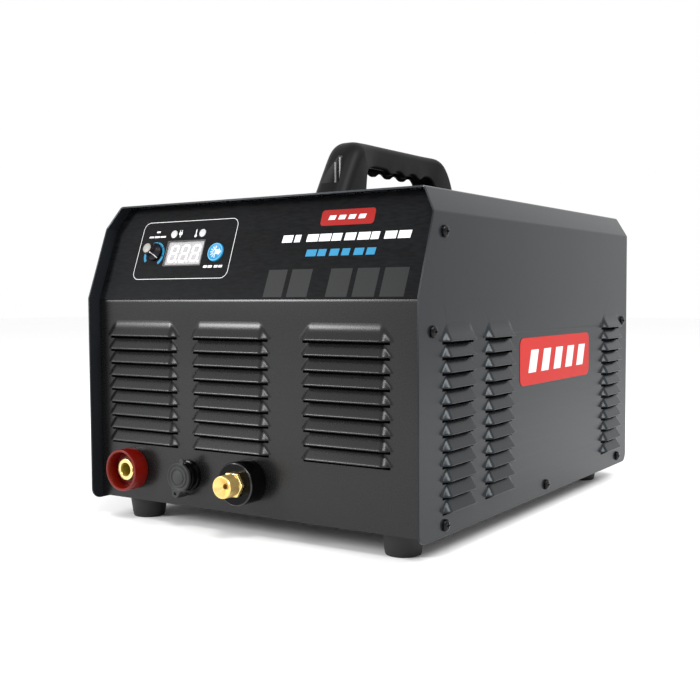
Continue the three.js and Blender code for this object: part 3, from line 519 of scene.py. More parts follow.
def hood():
    shoulder, crown = (HALF_WIDTH, CHAMFER_BOTTOM), (HALF_WIDTH - CHAMFER_WIDTH, CASE_HEIGHT)
    section = (fillet((HALF_WIDTH, 0), shoulder, crown, 4) + fillet(shoulder, crown, (0, CASE_HEIGHT), 3))
    side_top = section[0][1]
    r = CORNER_RADIUS
    outline = (ring(circle(r, 6, math.pi, math.pi / 2), (r, r))
               + ring(circle(r, 6, -math.pi / 2, math.pi / 2), (DEPTH - r, r))
               + [(DEPTH, side_top), (slope_at(side_top), side_top), (0, SLOPE_BOTTOM)])
    points, faces = [], []
    for sign in (1, -1):
        more, cells = pressed_sheet(outline, [], SIDE_COLUMNS, SIDE_ROWS, side_of(sign))
        faces += [tuple(i + len(points) for i in cell) for cell in cells]
        points += more
    across = section + [(-x, z) for x, z in reversed(section)]
    first = len(points)
    for x, z in across:
        points += [case(x, slope_at(z), z), case(x, DEPTH, z)]
    faces += [tuple(first + 2 * i + k for k in (0, 1, 3, 2)) for i in range(len(across) - 1)]
    made = piece("hood_shell", points, faces, COVER_PAINT, slot="cover_paint", replaces=["cover"], angle=50)
    # black sheets behind the side louvres: painted shade
    for name, sign in (("left", -1), ("right", 1)):
        painted_shade_screen(f"painted_shade_screen_{name}", SIDE_COLUMNS, SIDE_ROWS, side_of(sign))
    return soften(thicken(made, SHEET), 0.3, 2, 50)


def hood_section(inset, low, up=lambda z: z):
    """Outline of what fits inside the hood, counter-clockwise from the lower right."""
    flare = math.atan2(CHAMFER_WIDTH, CASE_HEIGHT - CHAMFER_BOTTOM)
    crown = HALF_WIDTH - CHAMFER_WIDTH - inset * math.tan((math.pi / 2 - flare) / 2)
    right = [(HALF_WIDTH - inset, low), (HALF_WIDTH - inset, CHAMFER_BOTTOM - inset * math.tan(flare / 2)),
             (crown, CASE_HEIGHT - inset)]
    return [(x, up(z)) for x, z in right] + [(-x, up(z)) for x, z in reversed(right)]


def box_loop(x0, y0, x1, y1):
    return [(x0, y0), (x1, y0), (x1, y1), (x0, y1)]


def panel_flange(name, loop, sign):
    """A flange of the front or rear panel, folded back just inside the hood."""
    prism(name, loop, -PANEL_INSET - SHEET, -PANEL_INSET, side_of(sign), PANEL_PAINT, slot="panel_paint")


def front_sheet():
    edge = HALF_WIDTH - PANEL_INSET
    bend = 1.2
    lower = box_loop(-edge, PANEL_BOTTOM, edge, BEND_HEIGHT - bend)
    holes = [ring(circle(r, 40), axis)
             for axis, r in ((RETURN_SOCKET, 10.4), (CONTROL_SOCKET, 8.9), (TORCH_SOCKET, 7))]
    points, faces = pressed_sheet(lower, holes, FRONT_COLUMNS, FRONT_ROWS, front)
    openings = [ring(circle(4, 24), KNOB), ring(circle(BUTTON_RADIUS + 0.6, 36), BUTTON),
                ring(rounded(36.6, 19.6, 0.5, 2), DISPLAY)] + [ring(circle(3.6, 20), at) for at in LAMPS]
    upper = hood_section(PANEL_INSET, BEND_HEIGHT,
                         lambda z: bend + (z - BEND_HEIGHT) / math.cos(LEAN) * 0.995)
    more, cells = pressed_sheet(upper, openings, (), 0, console)
    faces += [tuple(i + len(points) for i in cell) for cell in cells]
    points += more
    first, steps = len(points), 4
    radius = bend / math.tan(LEAN / 2)
    for i in range(steps + 1):
        turn = LEAN * i / steps
        y = PANEL_RECESS + radius * (1 - math.cos(turn))
        z = BEND_HEIGHT - bend + radius * math.sin(turn)
        points += [case(-edge, y, z), case(edge, y, z)]
    faces += [tuple(first + 2 * i + k for k in (0, 1, 3, 2)) for i in range(steps)]
    made = piece("front_sheet", points, faces, PANEL_PAINT, slot="panel_paint", replaces=["front_panel"],
                 angle=50)
    soften(thicken(made, SHEET), 0.25, 2, 50)
    # a black sheet behind the front louvres: painted shade
    painted_shade_screen("painted_shade_screen_front", FRONT_COLUMNS, FRONT_ROWS, front)
    for name, sign in (("left", -1), ("right", 1)):
        flange = [(PANEL_RECESS + 0.6, 24), (PANEL_RECESS + 16, 24), (PANEL_RECESS + 16, 150), (34, 204),
                  (30, 204), (PANEL_RECESS + 0.6, 151)]
        panel_flange(f"front_flange_{name}", flange, sign)


def grille():
    """Slots with round ends that fill the fan's circle, parted by an upright bar."""
    reach, bar, half = 56, 4, 2.6
    slots = []
    for row in range(-5, 6):
        rise = row * 9.4
        far = math.sqrt(reach ** 2 - (abs(rise) + half) ** 2) - half
        for sign in (1, -1):
            slot = (ring(circle(half, 8, -math.pi / 2, math.pi), (far, rise))
                    + ring(circle(half, 8, math.pi / 2, math.pi), (bar + half, rise)))
            turned = slot if sign > 0 else reversed(slot)
            slots.append([(FAN[0] + sign * x, FAN[1] + y) for x, y in turned])
    return slots


def rear_sheet():
    outline = hood_section(PANEL_INSET, PANEL_BOTTOM)
    holes = [ring(circle(8.4, 32), GLAND), ring(circle(7.4, 32), AIR_INLET),
             ring(rounded(27.8, 20.8, 0.6, 2), SWITCH)]
    points, faces = pressed_sheet(outline, holes, (), 0, rear, grille())
    made = piece("rear_sheet", points, faces, PANEL_PAINT, slot="panel_paint", replaces=["rear_panel"],
                 angle=50)
    soften(thicken(made, SHEET), 0.25, 2, 50)
    for name, sign in (("left", -1), ("right", 1)):
        flange = box_loop(DEPTH - PANEL_RECESS - 16, 24, DEPTH - PANEL_RECESS - 0.6, 204)
        panel_flange(f"rear_flange_{name}", flange, sign)


# ---- fasteners, feet and handle -----------------------------------------------------------
def pan_head(name, at, seat, radius, height, material, replaces=(), slot="screw_black"):
    """A domed head with a crossed recess."""
    dome = [(radius * math.cos(math.radians(a)), seat + height * (0.35 + 0.65 * math.sin(math.radians(a))))
            for a in range(0, 90, 12)]
    made = lathe(name, [(0.01, seat), (radius, seat), *dome, (0.01, seat + height)], at, material, 40,
                 slot=slot, replaces=replaces, closed=False)
    low, high = seat + height * 0.45, seat + height + 1
    tools = [prism(f"{name}_tool{i}", rounded(*size, 0.3, 2), low, high, at, material)
             for i, size in enumerate(((radius * 1.15, 0.95), (0.95, radius * 1.15)))]
    return soften(carve(made, *tools), 0.1, 2, 40)


def cover_screws():
    for name, sign in (("left", -1), ("right", 1)):
        for i, centre in enumerate(COVER_SCREWS):
            at = around(side_of(sign), centre)
            pan_head(f"pan_head_{name}_{i + 1}", at, 0.3, *SCREW_HEAD, SCREW_BLACK,
                     [f"cover_screw_{name}_{i + 1}"])


def feet():
    for end, y in FOOT_ROWS:
        for side, x in (("left", -FOOT_X), ("right", FOOT_X)):
            name = f"foot_{end}_{side}"
            low, high = (-14.5, PANEL_BOTTOM - 0.3)
            profile = [(2.4, high), (2.4, -6), (6, -6), (6, low), (11.2, low), (11.8, low + 0.3),
                       (12.2, low + 1.2), (14.2, high - 1.2), (14.35, high)]
            lathe(f"rubber_{name}", profile, lambda a, b, c, x=x, y=y: case(x + a, y + b, c), FOOT_RUBBER,
                  slot="foot_rubber", replaces=[name], angle=40)


def bezier(a, b, c, d, steps=10):
    """Points along a cubic curve, without its first."""
    out = []
    for t in (i / steps for i in range(1, steps + 1)):
        shares = ((1 - t) ** 3, 3 * t * (1 - t) ** 2, 3 * t * t * (1 - t), t ** 3)
        out.append(tuple(sum(share * p[k] for share, p in zip(shares, (a, b, c, d))) for k in (0, 1)))
    return out


def handle_outside():
    """Side view from the foot of the front leg over the crown to the foot of the rear leg."""
    front_y, rear_y, top = HANDLE_FRONT, HANDLE_REAR, HANDLE_HEIGHT
    line = [(front_y, 0), (front_y + 7.3, 12), (front_y + 14.5, 24), (front_y + 21.8, 36)]
    line += bezier(line[-1], (front_y + 27, 44.5), (front_y + 32, top), (front_y + 42, top))
    line += [(front_y + 42 + i * 13.17, top) for i in range(1, 9)] + [(rear_y - 42, top)]
    line += bezier(line[-1], (rear_y - 27, top), (rear_y - 17.5, 41), (rear_y - 11.5, 28.4))
    return line + [(rear_y - 7.6, 19), (rear_y - 3.8, 9.5), (rear_y, 0)]


def handle_inside():
    """Side view from the foot of the rear leg along the finger hollows to the foot of the front leg."""
    front_y, rear_y, half = HANDLE_FRONT, HANDLE_REAR, FINGER_PITCH / 2
    line = [(rear_y - 38, 0), (rear_y - 39, 6), (rear_y - 40, 12), (rear_y - 41, 18)]
    line += bezier(line[-1], (rear_y - 44, 30.4), (rear_y - 51, 33), (rear_y - 58, 32.7), 10)
    for i in range(3):
        start = rear_y - 58 - i * FINGER_PITCH
        tip, crest = (start - half, FINGER_TIP), (start - 2 * half, HOLLOW_HEIGHT)
        near, far = start - half * 0.6, start - half * 1.4
        line += bezier((start, HOLLOW_HEIGHT), (near, HOLLOW_HEIGHT), (near, FINGER_TIP), tip, 8)
        line += bezier(tip, (far, FINGER_TIP), (far, HOLLOW_HEIGHT), crest, 8)
    line += bezier(line[-1], (front_y + 60, 32.8), (front_y + 48, 33.6), (front_y + 47, 24), 12)
    return line + [(front_y + 45.5, 16), (front_y + 44.7, 8), (front_y + 44, 0)]


def inward(line, reach):
    """Smoothed directions into the moulding along a line that runs clockwise round it."""
    raw = []
    for i in range(len(line)):
        run = Vector(line[min(i + 1, len(line) - 1)]) - Vector(line[max(i - 1, 0)])
        raw.append(Vector((run.y, -run.x)).normalized())
    return [sum(raw[max(i - reach, 0):i + reach + 1], Vector((0, 0))).normalized() for i in range(len(raw))]


def ease(value, start, end):
    t = min(max((value - start) / (end - start), 0), 1)
    return t * t * (3 - 2 * t)


def handle_half(y):
    """Half of the handle's width: full at the legs, waisted along the grip."""
    waist = ease(y, HANDLE_FRONT + 38, HANDLE_FRONT + 64)
    back = ease(y, HANDLE_REAR - 56, HANDLE_REAR - 26)
    return LEG_HALF + (GRIP_HALF - LEG_HALF) * waist + (REAR_HALF - GRIP_HALF) * back


def handle():
    """The moulding with its front pocket and hollow grip, and the two ribs in the pocket, coloured much
    lighter than the moulding as painted highlight stripes.
    """
    outside, under = handle_outside(), handle_inside()
    loop = outside + under
    turns = inward(outside, 0) + inward(under, 8)
    radii = [12 - 6 * ease(y, HANDLE_FRONT + 36, HANDLE_FRONT + 62) for y, _ in outside]
    radii += [2.6] * len(under)
    widths = (0, 0.3, 0.45, 0.56, 0.66, 0.75, 0.83, 0.89, 0.94, 0.975, 0.993, 1)
    points, n, base = [], len(loop), CASE_HEIGHT + 0.3
    stack = [-w for w in reversed(widths[1:])] + list(widths)
    for share in stack:
        for (y, z), turn, radius in zip(loop, turns, radii):
            half = handle_half(y)
            past = max(0, abs(share) * half - half + radius)
            inset = radius - math.sqrt(max(0, radius ** 2 - past ** 2))
            points.append(case(share * half, y + turn.x * inset,
                               base + (0 if z < 0.01 else max(0, z + turn.y * inset))))
    faces = [(k * n + i, k * n + (i + 1) % n, (k + 1) * n + (i + 1) % n, (k + 1) * n + i)
             for k in range(len(stack) - 1) for i in range(n)]
    faces += side_caps(loop, n, len(stack))
    made = outward(piece("handle_moulding", points, faces, HANDLE_BLACK, slot="handle_plastic",
                         replaces=["carry_handle"], angle=45))

    def upright(x, y, z):
        return case(x, HANDLE_FRONT + 12 + y, base + z)

    pocket = [(-9.6, -16), (9.6, -16), (9.6, -2), (4.6, 12), (1.0, 12), (-9.6, -2)]
    span = HANDLE_REAR - HANDLE_FRONT
    channel = ring(rounded(13, span - 106, 3, 4), (0, span / 2 - 9))
    carve(made, prism("pocket_tool", pocket, POCKET_FLOOR, 60, upright, HANDLE_BLACK),
          prism("channel_tool", channel, 20, 41, upright, HANDLE_BLACK))
    made.data.shade_smooth()
    made.data.set_sharp_from_angle(angle=math.radians(40))
    # The pocket's upright walls get the lighter copy of the handle plastic: painted light.
    made.data.materials.append(POCKET_WALL_PAINTED_LIGHT)
    low, high = upright(-9.65, -16, POCKET_FLOOR - 0.1), upright(9.65, 12.05, 60)
    for face in made.data.polygons:
        if abs(face.normal.z) < 0.01 and all(a < c < b for a, c, b in zip(low, face.center, high)):
            face.material_index = 1
    # Two ribs in the lighter rib colour: painted highlight stripes on the pocket's back wall.
    for i, (x, y, top) in enumerate(((2.8, 11.8, 38), (-0.6, 10.1, 34.3))):
        prism(f"pocket_rib_{i + 1}", rounded(2.4, 1.8, 0.6, 5), POCKET_FLOOR + 0.1, top,
              around(upright, (x, y)), RIB_PAINTED_HIGHLIGHT, slot="handle_plastic")


def side_caps(loop, n, layers):
    """The two end faces of a stack of loops, cut into triangles."""
    flat = [Vector(p) for p in loop]
    _, _, cells, *_ = delaunay_2d_cdt(flat, [(i, (i + 1) % n) for i in range(n)], [], 1, 1e-6)
    last = (layers - 1) * n
    return [tuple(cell) for cell in cells] + [tuple(last + i for i in reversed(cell)) for cell in cells]


# ---- console ------------------------------------------------------------------------------
def knob():
    at = around(console, KNOB)
    low = FILM_TOP + 0.4

    def fluted(r, h, turn):
        return r - (0.22 if 4.2 < r < 5.2 and h > low + 3 else 0) * (0.5 + 0.5 * math.cos(24 * turn))

    profile = [(3.3, low), (6.6, low), (7, low + 0.3), (7, low + 1.2), (6.8, low + 1.7), (6, low + 2.5),
               (5.2, low + 3.4), (4.75, low + 4.6), (4.6, low + 5.6), (4.4, KNOB_HEIGHT - 0.5),
               (4.15, KNOB_HEIGHT), (3.3, KNOB_HEIGHT)]
    lathe("fluted_knob", profile, at, KNOB_BLACK, 144, fluted, body="knob", slot="knob_plastic",
          replaces=["current_knob"], angle=50)
    line = Sketch(lambda r, w, h: at(r * math.cos(POINTER_ANGLE) - w * math.sin(POINTER_ANGLE),
                                     r * math.sin(POINTER_ANGLE) + w * math.cos(POINTER_ANGLE), h))
    spine = [(4.05, KNOB_HEIGHT + 0.12), (4.75, KNOB_HEIGHT - 0.5), (4.9, low + 5.6), (5.1, low + 4.6),
             (5.5, low + 3.5), (6.3, low + 2.6), (7.0, low + 1.8), (7.16, low + 1.1)]
    edges = ((-0.3, 0), (0.3, 0), (0.3, -0.5), (-0.3, -0.5))
    for r, h in spine:
        line.points += [line.at(r, w, h + lift) for w, lift in edges]
    for i in range(len(spine) - 1):
        a, b = 4 * i, 4 * (i + 1)
        line.faces += [(a + k, a + (k + 1) % 4, b + (k + 1) % 4, b + k) for k in range(4)]
    line.faces += [(0, 1, 2, 3), tuple(4 * (len(spine) - 1) + k for k in (3, 2, 1, 0))]
    line.make("knob_pointer", PRINT_WHITE, body="knob", slot="knob_plastic")
    rim = KNOB_HEIGHT + 0.3
    cap = [(0.01, rim - 1.2), (2.9, rim - 1.2), (2.9, rim), (3.5, rim), (3.7, rim + 0.25), (3.55, rim + 0.6),
           (2.9, rim + 0.85), (1.5, rim + 0.97), (0.01, rim + 1)]
    lathe("knob_face", cap, at, CAP_GREY, 48, body="knob", slot="knob_cap_grey", replaces=["knob_cap"],
          closed=False)


def console_prints():
    top = FILM_TOP
    white, blue, grey, red = Sketch(console), Sketch(console), Sketch(console), Sketch(console)
    middle, size = (-67.2, 40), (93, 46.4)
    frame_line = [ring(rounded(size[0] + w, size[1] + w, 6 + w / 2, 8), middle) for w in (0.15, -0.65)]
    white.band(*frame_line, top, top + 0.06)

    def bar(sketch, x0, y0, x1, y1, lean=0.0, lift=0.06):
        slant = lean * (y1 - y0)
        sketch.slab([(x0, y0), (x1, y0), (x1 + slant, y1), (x0 + slant, y1)], top, top + lift)

    for start, sweep in ((-52, 42), (-6, 40), (38, 40), (82, 34), (120, 22), (176, 42)):
        arc = [ring(circle(r, 10, math.radians(start), math.radians(sweep)), (KNOB[0], KNOB[1] - 1.8))
               for r in (10.1, 8.0)]
        blue.band(*arc, top, top + 0.06, closed=False)
    for x0, x1 in ((-106.2, -101.6), (-100.8, -95.6), (-94.8, -89.4)):
        bar(white, x0, 50.4, x1, 51.7, 0.2)
    bar(white, -99.6, 54.4, -96, 55.7, 0.2)
    for x0, x1 in ((-45, -41.4), (-40.6, -36.8), (-34.8, -31.4), (-30.6, -27.2)):
        bar(white, x0, 25.1, x1, 26.9, 0.2)
    plug = (-74.6, 53)
    white.slab(ring(rounded(3.2, 2.6, 0.8, 3), plug), top, top + 0.06)
    for dx in (-0.9, 0.9):
        bar(white, plug[0] + dx - 0.3, plug[1] + 1.2, plug[0] + dx + 0.3, plug[1] + 2.8)
    bar(white, plug[0] - 0.3, plug[1] - 3, plug[0] + 0.3, plug[1] - 1.2)
    bulb = (-59.3, 50.7)
    white.slab(ring(circle(1.2, 16), bulb), top, top + 0.06)
    bar(white, bulb[0] - 0.45, bulb[1] + 0.8, bulb[0] + 0.45, bulb[1] + 5)
    red.slab(ring(rounded(43, 11.5, 2.4, 5), (73.5, 59.2)), top, top + 0.08)
    for x in (58, 66, 74, 82):
        bar(white, x, 57.6, x + 5.4, 60.8, 0.3, 0.12)
    for i, wide in enumerate((8.6, 5, 9.4, 9.4, 7.8, 8.6, 9.4, 6.2, 9, 9.4)):
        x = 22.4 + i * 10.35
        bar(white, x, 42.2, x + wide, 47.6, 0.12)
    for i, wide in enumerate((8.4, 6.6, 7.2, 6.2, 7.4, 6.8)):
        x = 45 + i * 9.7
        bar(blue, x, 31.4, x + wide, 36.4, 0.12)
    for x0, x1 in ((16, 32), (36, 53), (68, 85), (89, 106), (110, 128)):
        bar(grey, x0, 2.2, x1, 22.2, 0.04, 0.04)
    white.make("print_marks_white", PRINT_WHITE, slot="console_film")
    blue.make("print_marks_blue", PRINT_BLUE, slot="console_film")
    grey.make("print_marks_grey", PRINT_GREY, slot="console_film")
    red.make("print_badge_red", PRINT_RED, slot="console_film")


SEGMENTS = (((-2.9, 6.2), (2.9, 6.2)), ((3.2, 5.9), (3.2, 0.4)), ((3.2, -0.4), (3.2, -5.9)),
            ((-2.9, -6.2), (2.9, -6.2)), ((-3.2, -0.4), (-3.2, -5.9)), ((-3.2, 5.9), (-3.2, 0.4)),
            ((-2.9, 0), (2.9, 0)))


def display():
    digits = Sketch(around(console, DISPLAY))
    lean = math.tan(math.radians(9))
    for centre in (-10.9, -0.2, 10.5):
        for (x0, y0), (x1, y1) in SEGMENTS:
            a, b = Vector((x0, y0)), Vector((x1, y1))
            run = (b - a).normalized()
            wide, near, far = Vector((-run.y, run.x)) * 0.75, a + run * 0.7, b - run * 0.7
            loop = [a, near + wide, far + wide, b, far - wide, near - wide]
            digits.slab([(centre + p.x + lean * p.y, p.y) for p in loop], 0.08, 0.2)
        digits.slab(ring(circle(0.75, 14), (centre + 4.1, -6.3)), 0.08, 0.2)
    digits.make("display_digits", DIGIT_WHITE, slot="display_grey")
    bezel = Sketch(around(console, DISPLAY))
    bezel.band(rounded(37.4, 20.4, 0.8, 3), rounded(35.4, 18.4, 0.5, 3), FILM_TOP, FILM_TOP + 0.25)
    bezel.make("display_bezel", CONNECTOR_BLACK, slot="console_film")


def button():
    at = around(console, BUTTON)
    r = BUTTON_RADIUS
    profile = [(0.01, -4.4), (r + 1.3, -4.4), (r + 1.3, -3.6), (r, -3.6), (r, 1.2), (r - 0.15, 1.6),
               (r - 0.5, 1.8), (r - 0.8, 1.75), (r - 1.1, 1.55), (0.01, 1.5)]
    lathe("button_cap", profile, at, BUTTON_BLUE, 64, body="gas_button", slot="button_blue",
          replaces=["gas_test_button"], closed=False, angle=50)
    rim = Sketch(at)
    rim.band(circle(r - 0.45, 64), circle(r - 1, 64), 1.6, 1.86)
    rim.make("button_rim", BUTTON_RIM, body="gas_button", slot="button_blue")
    sign = Sketch(at)
    arrow = [(-0.2, -1.7), (3.2, -1.7), (3.2, -2.9), (5.3, 0), (3.2, 2.9), (3.2, 1.7), (-0.2, 1.7)]
    sign.slab(arrow, 1.45, 1.62)
    for i in range(7):
        turn = math.radians(90 + i * 30)
        run = Vector((math.cos(turn), math.sin(turn)))
        wide = Vector((-run.y, run.x)) * 0.22
        sign.slab([tuple(run * 1.6 - wide), tuple(run * 4.6 - wide * 1.4), tuple(run * 4.6 + wide * 1.4),
                   tuple(run * 1.6 + wide)], 1.45, 1.62)
    sign.make("button_sign", PRINT_WHITE, body="gas_button", slot="button_blue")


def lamps():
    for name, centre in zip(("power_led", "overheat_led"), LAMPS):
        profile = [(0.01, -12), (2.4, -12), (3.1, -1.6), (3.1, 0.8), (2.9, 1.05), (2.2, 1.25), (0.01, 1.35)]
        lathe(f"{name}_lens", profile, around(console, centre), LAMP_LENS, 40, slot="lamp_lens",
              replaces=[name], closed=False)


# ---- front connectors ---------------------------------------------------------------------
def return_socket():
    at = socket(RETURN_SOCKET)
    shroud = [(8.6, -26), (8.6, -4.8), (9.5, -4.8), (9.8, -5.2), (10, -8), (12.6, -8), (13.1, -7.5),
              (13.5, 1.8), (13.65, 2.4), (14.1, 2.85), (15.0, 2.85), (15.5, 2.55), (15.7, 2), (15.7, SEAT),
              (10, SEAT), (10, -26)]
    lathe("red_shroud", shroud, at, SOCKET_RED, 96, slot="socket_red", replaces=["return_socket_housing"],
          angle=30)
    insert = [(5.1, -2.6), (5.35, -2.25), (7.3, -2.2), (7.9, -2.4), (8.2, -2.9), (8.2, -34), (0.01, -34),
              (0.01, -26), (5.1, -26)]
    contact = lathe("keyed_contact", insert, at, BRASS, 72, slot="brass", replaces=["return_socket_contact"],
                    angle=30)
    notch = prism("notch_tool", box_loop(6.5, -1.8, 9, 1.8), -9, 0, at, BRASS)
    carve(contact, notch)
    # A dark olive cone inside the contact's bore: painted shade in the bore.
    liner = [(5.08, -3.4), (4.9, -3.6), (4.5, -8), (4.2, -12), (0.01, -12.4), (0.01, -13), (5.08, -13)]
    lathe("contact_bore_shade", liner, at, BORE_SHADE, 48, slot="brass", closed=False)


def control_socket():
    at = socket(CONTROL_SOCKET)
    shell = [(0.01, -8), (7.4, -8), (7.4, -0.8), (9.2, -0.8), (9.6, -1), (9.9, -1.6), (9.9, -3), (10.3, -3.2),
             (10.5, -3.7), (10.5, -4.8), (10.3, -5.4), (10.1, -5.8), (10.1, -7.4), (11.0, -7.7), (11.3, -8.2),
             (11.3, SEAT), (8.5, SEAT), (8.5, -26), (0.01, -26)]
    lathe("round_socket", shell, at, GLOSS_BLACK, 72, slot="connector_black", replaces=["control_socket"],
          closed=False, angle=40)
    pins = Sketch(at)
    for i in range(5):
        turn = i / 5 * 2 * math.pi
        pins.slab(ring(circle(0.9, 16), (5 * math.cos(turn), 5 * math.sin(turn))), -9, -1.6)
    pins.make("socket_pins", BRASS, slot="connector_black")


def socket_cap():
    """Ringed disc with a tab, and a strap with a hole that runs back under the socket."""
    at = socket(CONTROL_SOCKET, CAP_TURN)
    rest = {"body": "socket_cap", "slot": "cap_rubber"}
    lid = [(0.01, 1.9), (4.5, 1.9), (4.85, 1.75), (5.1, 1.3), (6.2, 1.3), (6.4, 1.7), (6.7, 1.9), (7.2, 1.9),
           (7.5, 1.7), (7.75, 1.2), (9.1, 1.2), (9.35, 1.6), (9.6, 1.8), (10.05, 1.8), (10.35, 1.6),
           (10.5, 1.2), (10.5, -0.3), (10.3, -0.5), (6.4, -0.5), (6.4, -1.2), (0.01, -1.2)]
    lathe("cap_disc", lid, at, CAP_RUBBER, 80, replaces=["control_socket_cap"], closed=False, angle=60,
          **rest)
    tab = [(-2, 9), (2, 9)] + ring(circle(2, 12, 0, math.pi), (0, 12.1))
    soften(prism("cap_tab", tab, -0.4, 1.6, at, CAP_RUBBER, **rest), 0.5)
    strap = [(-4.7, -9), (-3.4, -12.2), (-2.5, -14.4), (-1.6, -15.5)]
    strap += [(-x, y) for x, y in reversed(strap)]
    loop = prism("cap_strap", strap, -0.4, 1.5, at, CAP_RUBBER, **rest)
    soften(carve(loop, prism("strap_tool", ring(circle(1.2, 20), (0, -12.7)), -2, 3, at, CAP_RUBBER)), 0.4)
    under = Sketch(lambda across, back, up: at(across, up, -back))
    under.slab(ring(rounded(5, 10.6, 0.8, 3), (0, 4.3)), -15.5, -14.2)
    soften(under.make("cap_hinge_strap", CAP_RUBBER, **rest), 0.3)


def torch_connector():
    """Collar with a glossy rim, hexagon, and a plain nose with a coned seat."""
    at = socket(TORCH_SOCKET)
    face = 5.9
    collar = [(6.9, face), (14.25, face), (14.25, face - 1), (15.2, face - 1), (15.2, SEAT), (6.9, SEAT)]
    lathe("black_collar", collar, at, GLOSS_BLACK, 96, slot="connector_black", replaces=["torch_collar"],
          angle=50)
    rim = [(14.3, face - 0.95), (14.3, face - 0.02), (14.55, face - 0.12), (15.05, face - 0.6),
           (15.15, face - 0.95)]
    lathe("collar_rim", rim, at, GLOSS_EDGE, 96, slot="connector_black", angle=60)
    nose = [(1.9, 15.6), (6.85, OVERHANG - 0.05), (7.2, OVERHANG), (7.5, OVERHANG - 0.15),
            (7.85, OVERHANG - 0.9), (7.9, OVERHANG - 3.8), (7.9, 9.2), (7.1, 9.1), (7.1, face + 0.3),
            (6.5, face + 0.3), (6.5, -20), (4.2, -20), (4.2, -25), (5, -25), (4.2, -32), (1.9, -32)]
    lathe("threaded_nose", nose, at, BRASS_TURNED, 72, slot="brass", replaces=["torch_fitting"], angle=22)
    nut = Sketch(at).band(circle(9.5, 6), circle(6.8, 6), face + 0.3, 9.4)
    soften(nut.make("hex_flats", BRASS, slot="brass"), 0.7, 4)


# ---- badges, rear services and the inside -------------------------------------------------
def side_badges():
    for name, sign in (("left", -1), ("right", 1)):
        at = around(side_of(sign), (220.5, 105.5))
        flip = 1 if sign > 0 else -1
        plate = Sketch(at).slab(rounded(142, 35.6, 6, 8), 0.02, 0.35)
        # the plate's lighter red is painted light
        soften(plate.make(f"badge_plate_{name}", BADGE_RED_LIT, slot="cover_paint"), 0.12, 2)
        marks = Sketch(at)
        for i in range(5):
            bar = [(0, -8.5), (14, -8.5), (19.5, 8.5), (5.5, 8.5)]
            marks.slab([(flip * (-56 + i * 24.4 + x), y) for x, y in bar], 0.35, 0.5)
        marks.make(f"badge_marks_{name}", PRINT_WHITE, slot="cover_paint")


def rear_services():
    for i, (sx, sz) in enumerate(((-1, -1), (1, -1), (1, 1), (-1, 1))):
        at = around(rear, (FAN[0] + sx * FAN_HOLES, FAN[1] + sz * FAN_HOLES))
        pan_head(f"fan_screw_{i + 1}", at, 0.02, *SCREW_HEAD, SCREW_BLACK)
    at = around(rear, AIR_INLET)
    barb = [(3, 20.9), (3.3, 21), (5.0, 21), (5.3, 20.6), (5.9, 20)]
    for i in range(5):
        barb += [(6, 19.6 - i * 1.6), (5.45, 19.0 - i * 1.6), (5.5, 18.4 - i * 1.6)]
    barb += [(6, 11.7), (7, 11.2), (7, 8), (9.2, 8), (9.2, 0.3), (7, 0.3), (7, -14), (4.6, -14), (4.6, -20),
             (5.4, -20), (4.6, -24), (3, -24)]
    lathe("inlet_nipple", barb, at, BRASS_TURNED, 64, slot="brass", replaces=["air_inlet_fitting"], angle=26)
    nut = Sketch(at).band(circle(11, 6), circle(8.6, 6), 0.3, 7)
    soften(nut.make("inlet_hex", BRASS, slot="brass"), 0.5)
    tip = PANEL_RECESS + OVERHANG
    body = [(5, -14), (8, -14), (8, 0.3), (11.4, 0.3), (11.4, 6.2), (11.2, 6.6), (11.5, 7.2), (11.5, 17.4),
            (11.0, 18.2), (8, tip - 2), (6.6, tip - 0.1), (5.2, tip), (5, tip - 0.2)]

    def ribbed(r, h, turn):
        return r - (0.45 * (0.5 + 0.5 * math.cos(18 * turn)) if 11.3 < r and h > 7 else 0)

    lathe("gland_body", body, around(rear, GLAND), CONNECTOR_BLACK, 144, ribbed, slot="connector_black",
          replaces=["cable_gland"], angle=40)
    flange = Sketch(around(rear, GLAND)).band(circle(13, 6), circle(11, 6), 0.3, 6)
    soften(flange.make("gland_hex", CONNECTOR_BLACK, slot="connector_black"), 0.6)


FINISHES = {
    "cover_paint": COVER_PAINT, "panel_paint": PANEL_PAINT, "console_film": FILM_BLACK,
    "foot_rubber": FOOT_RUBBER, "handle_plastic": HANDLE_BLACK, "screw_black": SCREW_BLACK, "steel": STEEL,
    "knob_plastic": KNOB_BLACK, "knob_cap_grey": CAP_GREY, "aluminium": ALUMINIUM,
    "button_blue": BUTTON_BLUE, "display_grey": DISPLAY_FACE, "clear_window": CLEAR,
    "lamp_lens": LAMP_LENS, "board_green": BOARD, "socket_red": SOCKET_RED, "brass": BRASS,
    "connector_black": CONNECTOR_BLACK, "rocker_black": CONNECTOR_BLACK, "cap_rubber": CAP_RUBBER,
    "ferrite": FERRITE, "copper": COPPER, "capacitor_sleeve": SLEEVE, "hose_blue": HOSE,
}


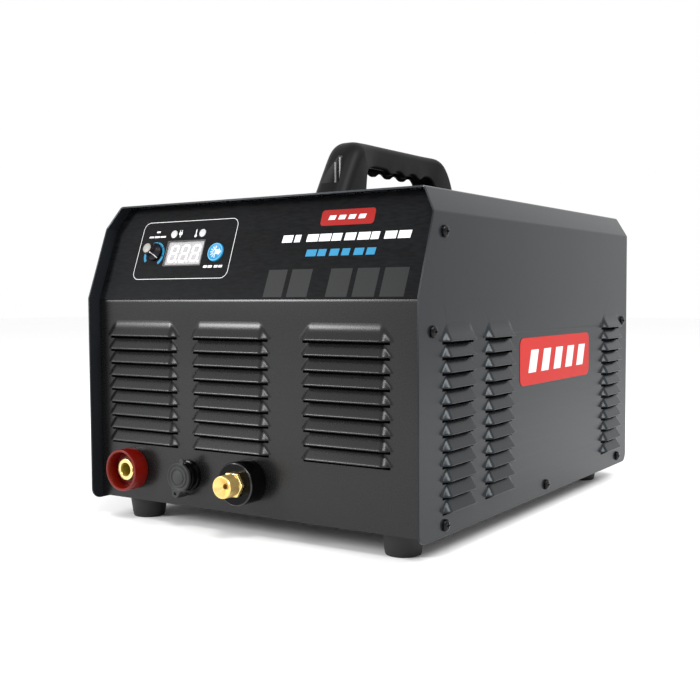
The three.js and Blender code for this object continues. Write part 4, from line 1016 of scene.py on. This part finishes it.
def dress_frame():
    for sub in frame["record"]["subparts"]:
        node = frame["nodes"][sub["node"]]
        node.data.materials.clear()
        node.data.materials.append(FINISHES[sub["material_slot"]])


# ---- studio -------------------------------------------------------------------------------
def area(name, place, aim, size, power, colour=(1, 1, 1)):
    light = bpy.data.lights.new(name, "AREA")
    light.shape = "RECTANGLE"
    light.size, light.size_y = size
    light.energy = power
    light.color = colour
    made = bpy.data.objects.new(name, light)
    made.location = place
    made.rotation_euler = (Vector(aim) - Vector(place)).to_track_quat("-Z", "Y").to_euler()
    bpy.context.scene.collection.objects.link(made)


def studio():
    world = bpy.data.worlds.new("studio")
    bpy.context.scene.world = world
    world.use_nodes = True
    world.node_tree.nodes["Background"].inputs["Color"].default_value = (1, 1, 1, 1)
    world.node_tree.nodes["Background"].inputs["Strength"].default_value = 1.0
    bpy.context.scene.view_settings.view_transform = "Standard"
    middle = (0, 0, 0.13)
    area("key_right", (1.25, -0.08, 1.25), middle, (0.6, 0.6), 18)
    area("key_front", (0.64, -0.92, 1.35), middle, (0.34, 0.34), 9)
    area("strip_left", (-1.0, -1.35, 0.72), middle, (0.35, 0.5), 20)
    floor = bpy.data.meshes.new("floor")
    floor.from_pydata([(-6, -6, 0), (6, -6, 0), (6, 6, 0), (-6, 6, 0)], [], [(0, 1, 2, 3)])
    floor.materials.append(FLOOR_PALE)
    ground = bpy.data.objects.new("floor", floor)
    bpy.context.scene.collection.objects.link(ground)


def camera():
    made = bpy.data.objects.new("camera", bpy.data.cameras.new("camera"))
    made.data.lens = 52.5
    made.data.sensor_width = 36
    turn = (Matrix.Rotation(math.radians(33.373), 4, "Z") @ Matrix.Rotation(math.radians(86.867), 4, "X")
            @ Matrix.Rotation(math.radians(-0.341), 4, "Z"))
    made.matrix_world = Matrix.Translation((0.4521, -0.7378, 0.1711)) @ turn
    bpy.context.scene.collection.objects.link(made)
    bpy.context.scene.camera = made


camera()
studio()
dress_frame()
hood()
front_sheet()
rear_sheet()
cover_screws()
feet()
handle()
knob()
console_prints()
display()
button()
lamps()
return_socket()
control_socket()
socket_cap()
torch_connector()
side_badges()
rear_services()
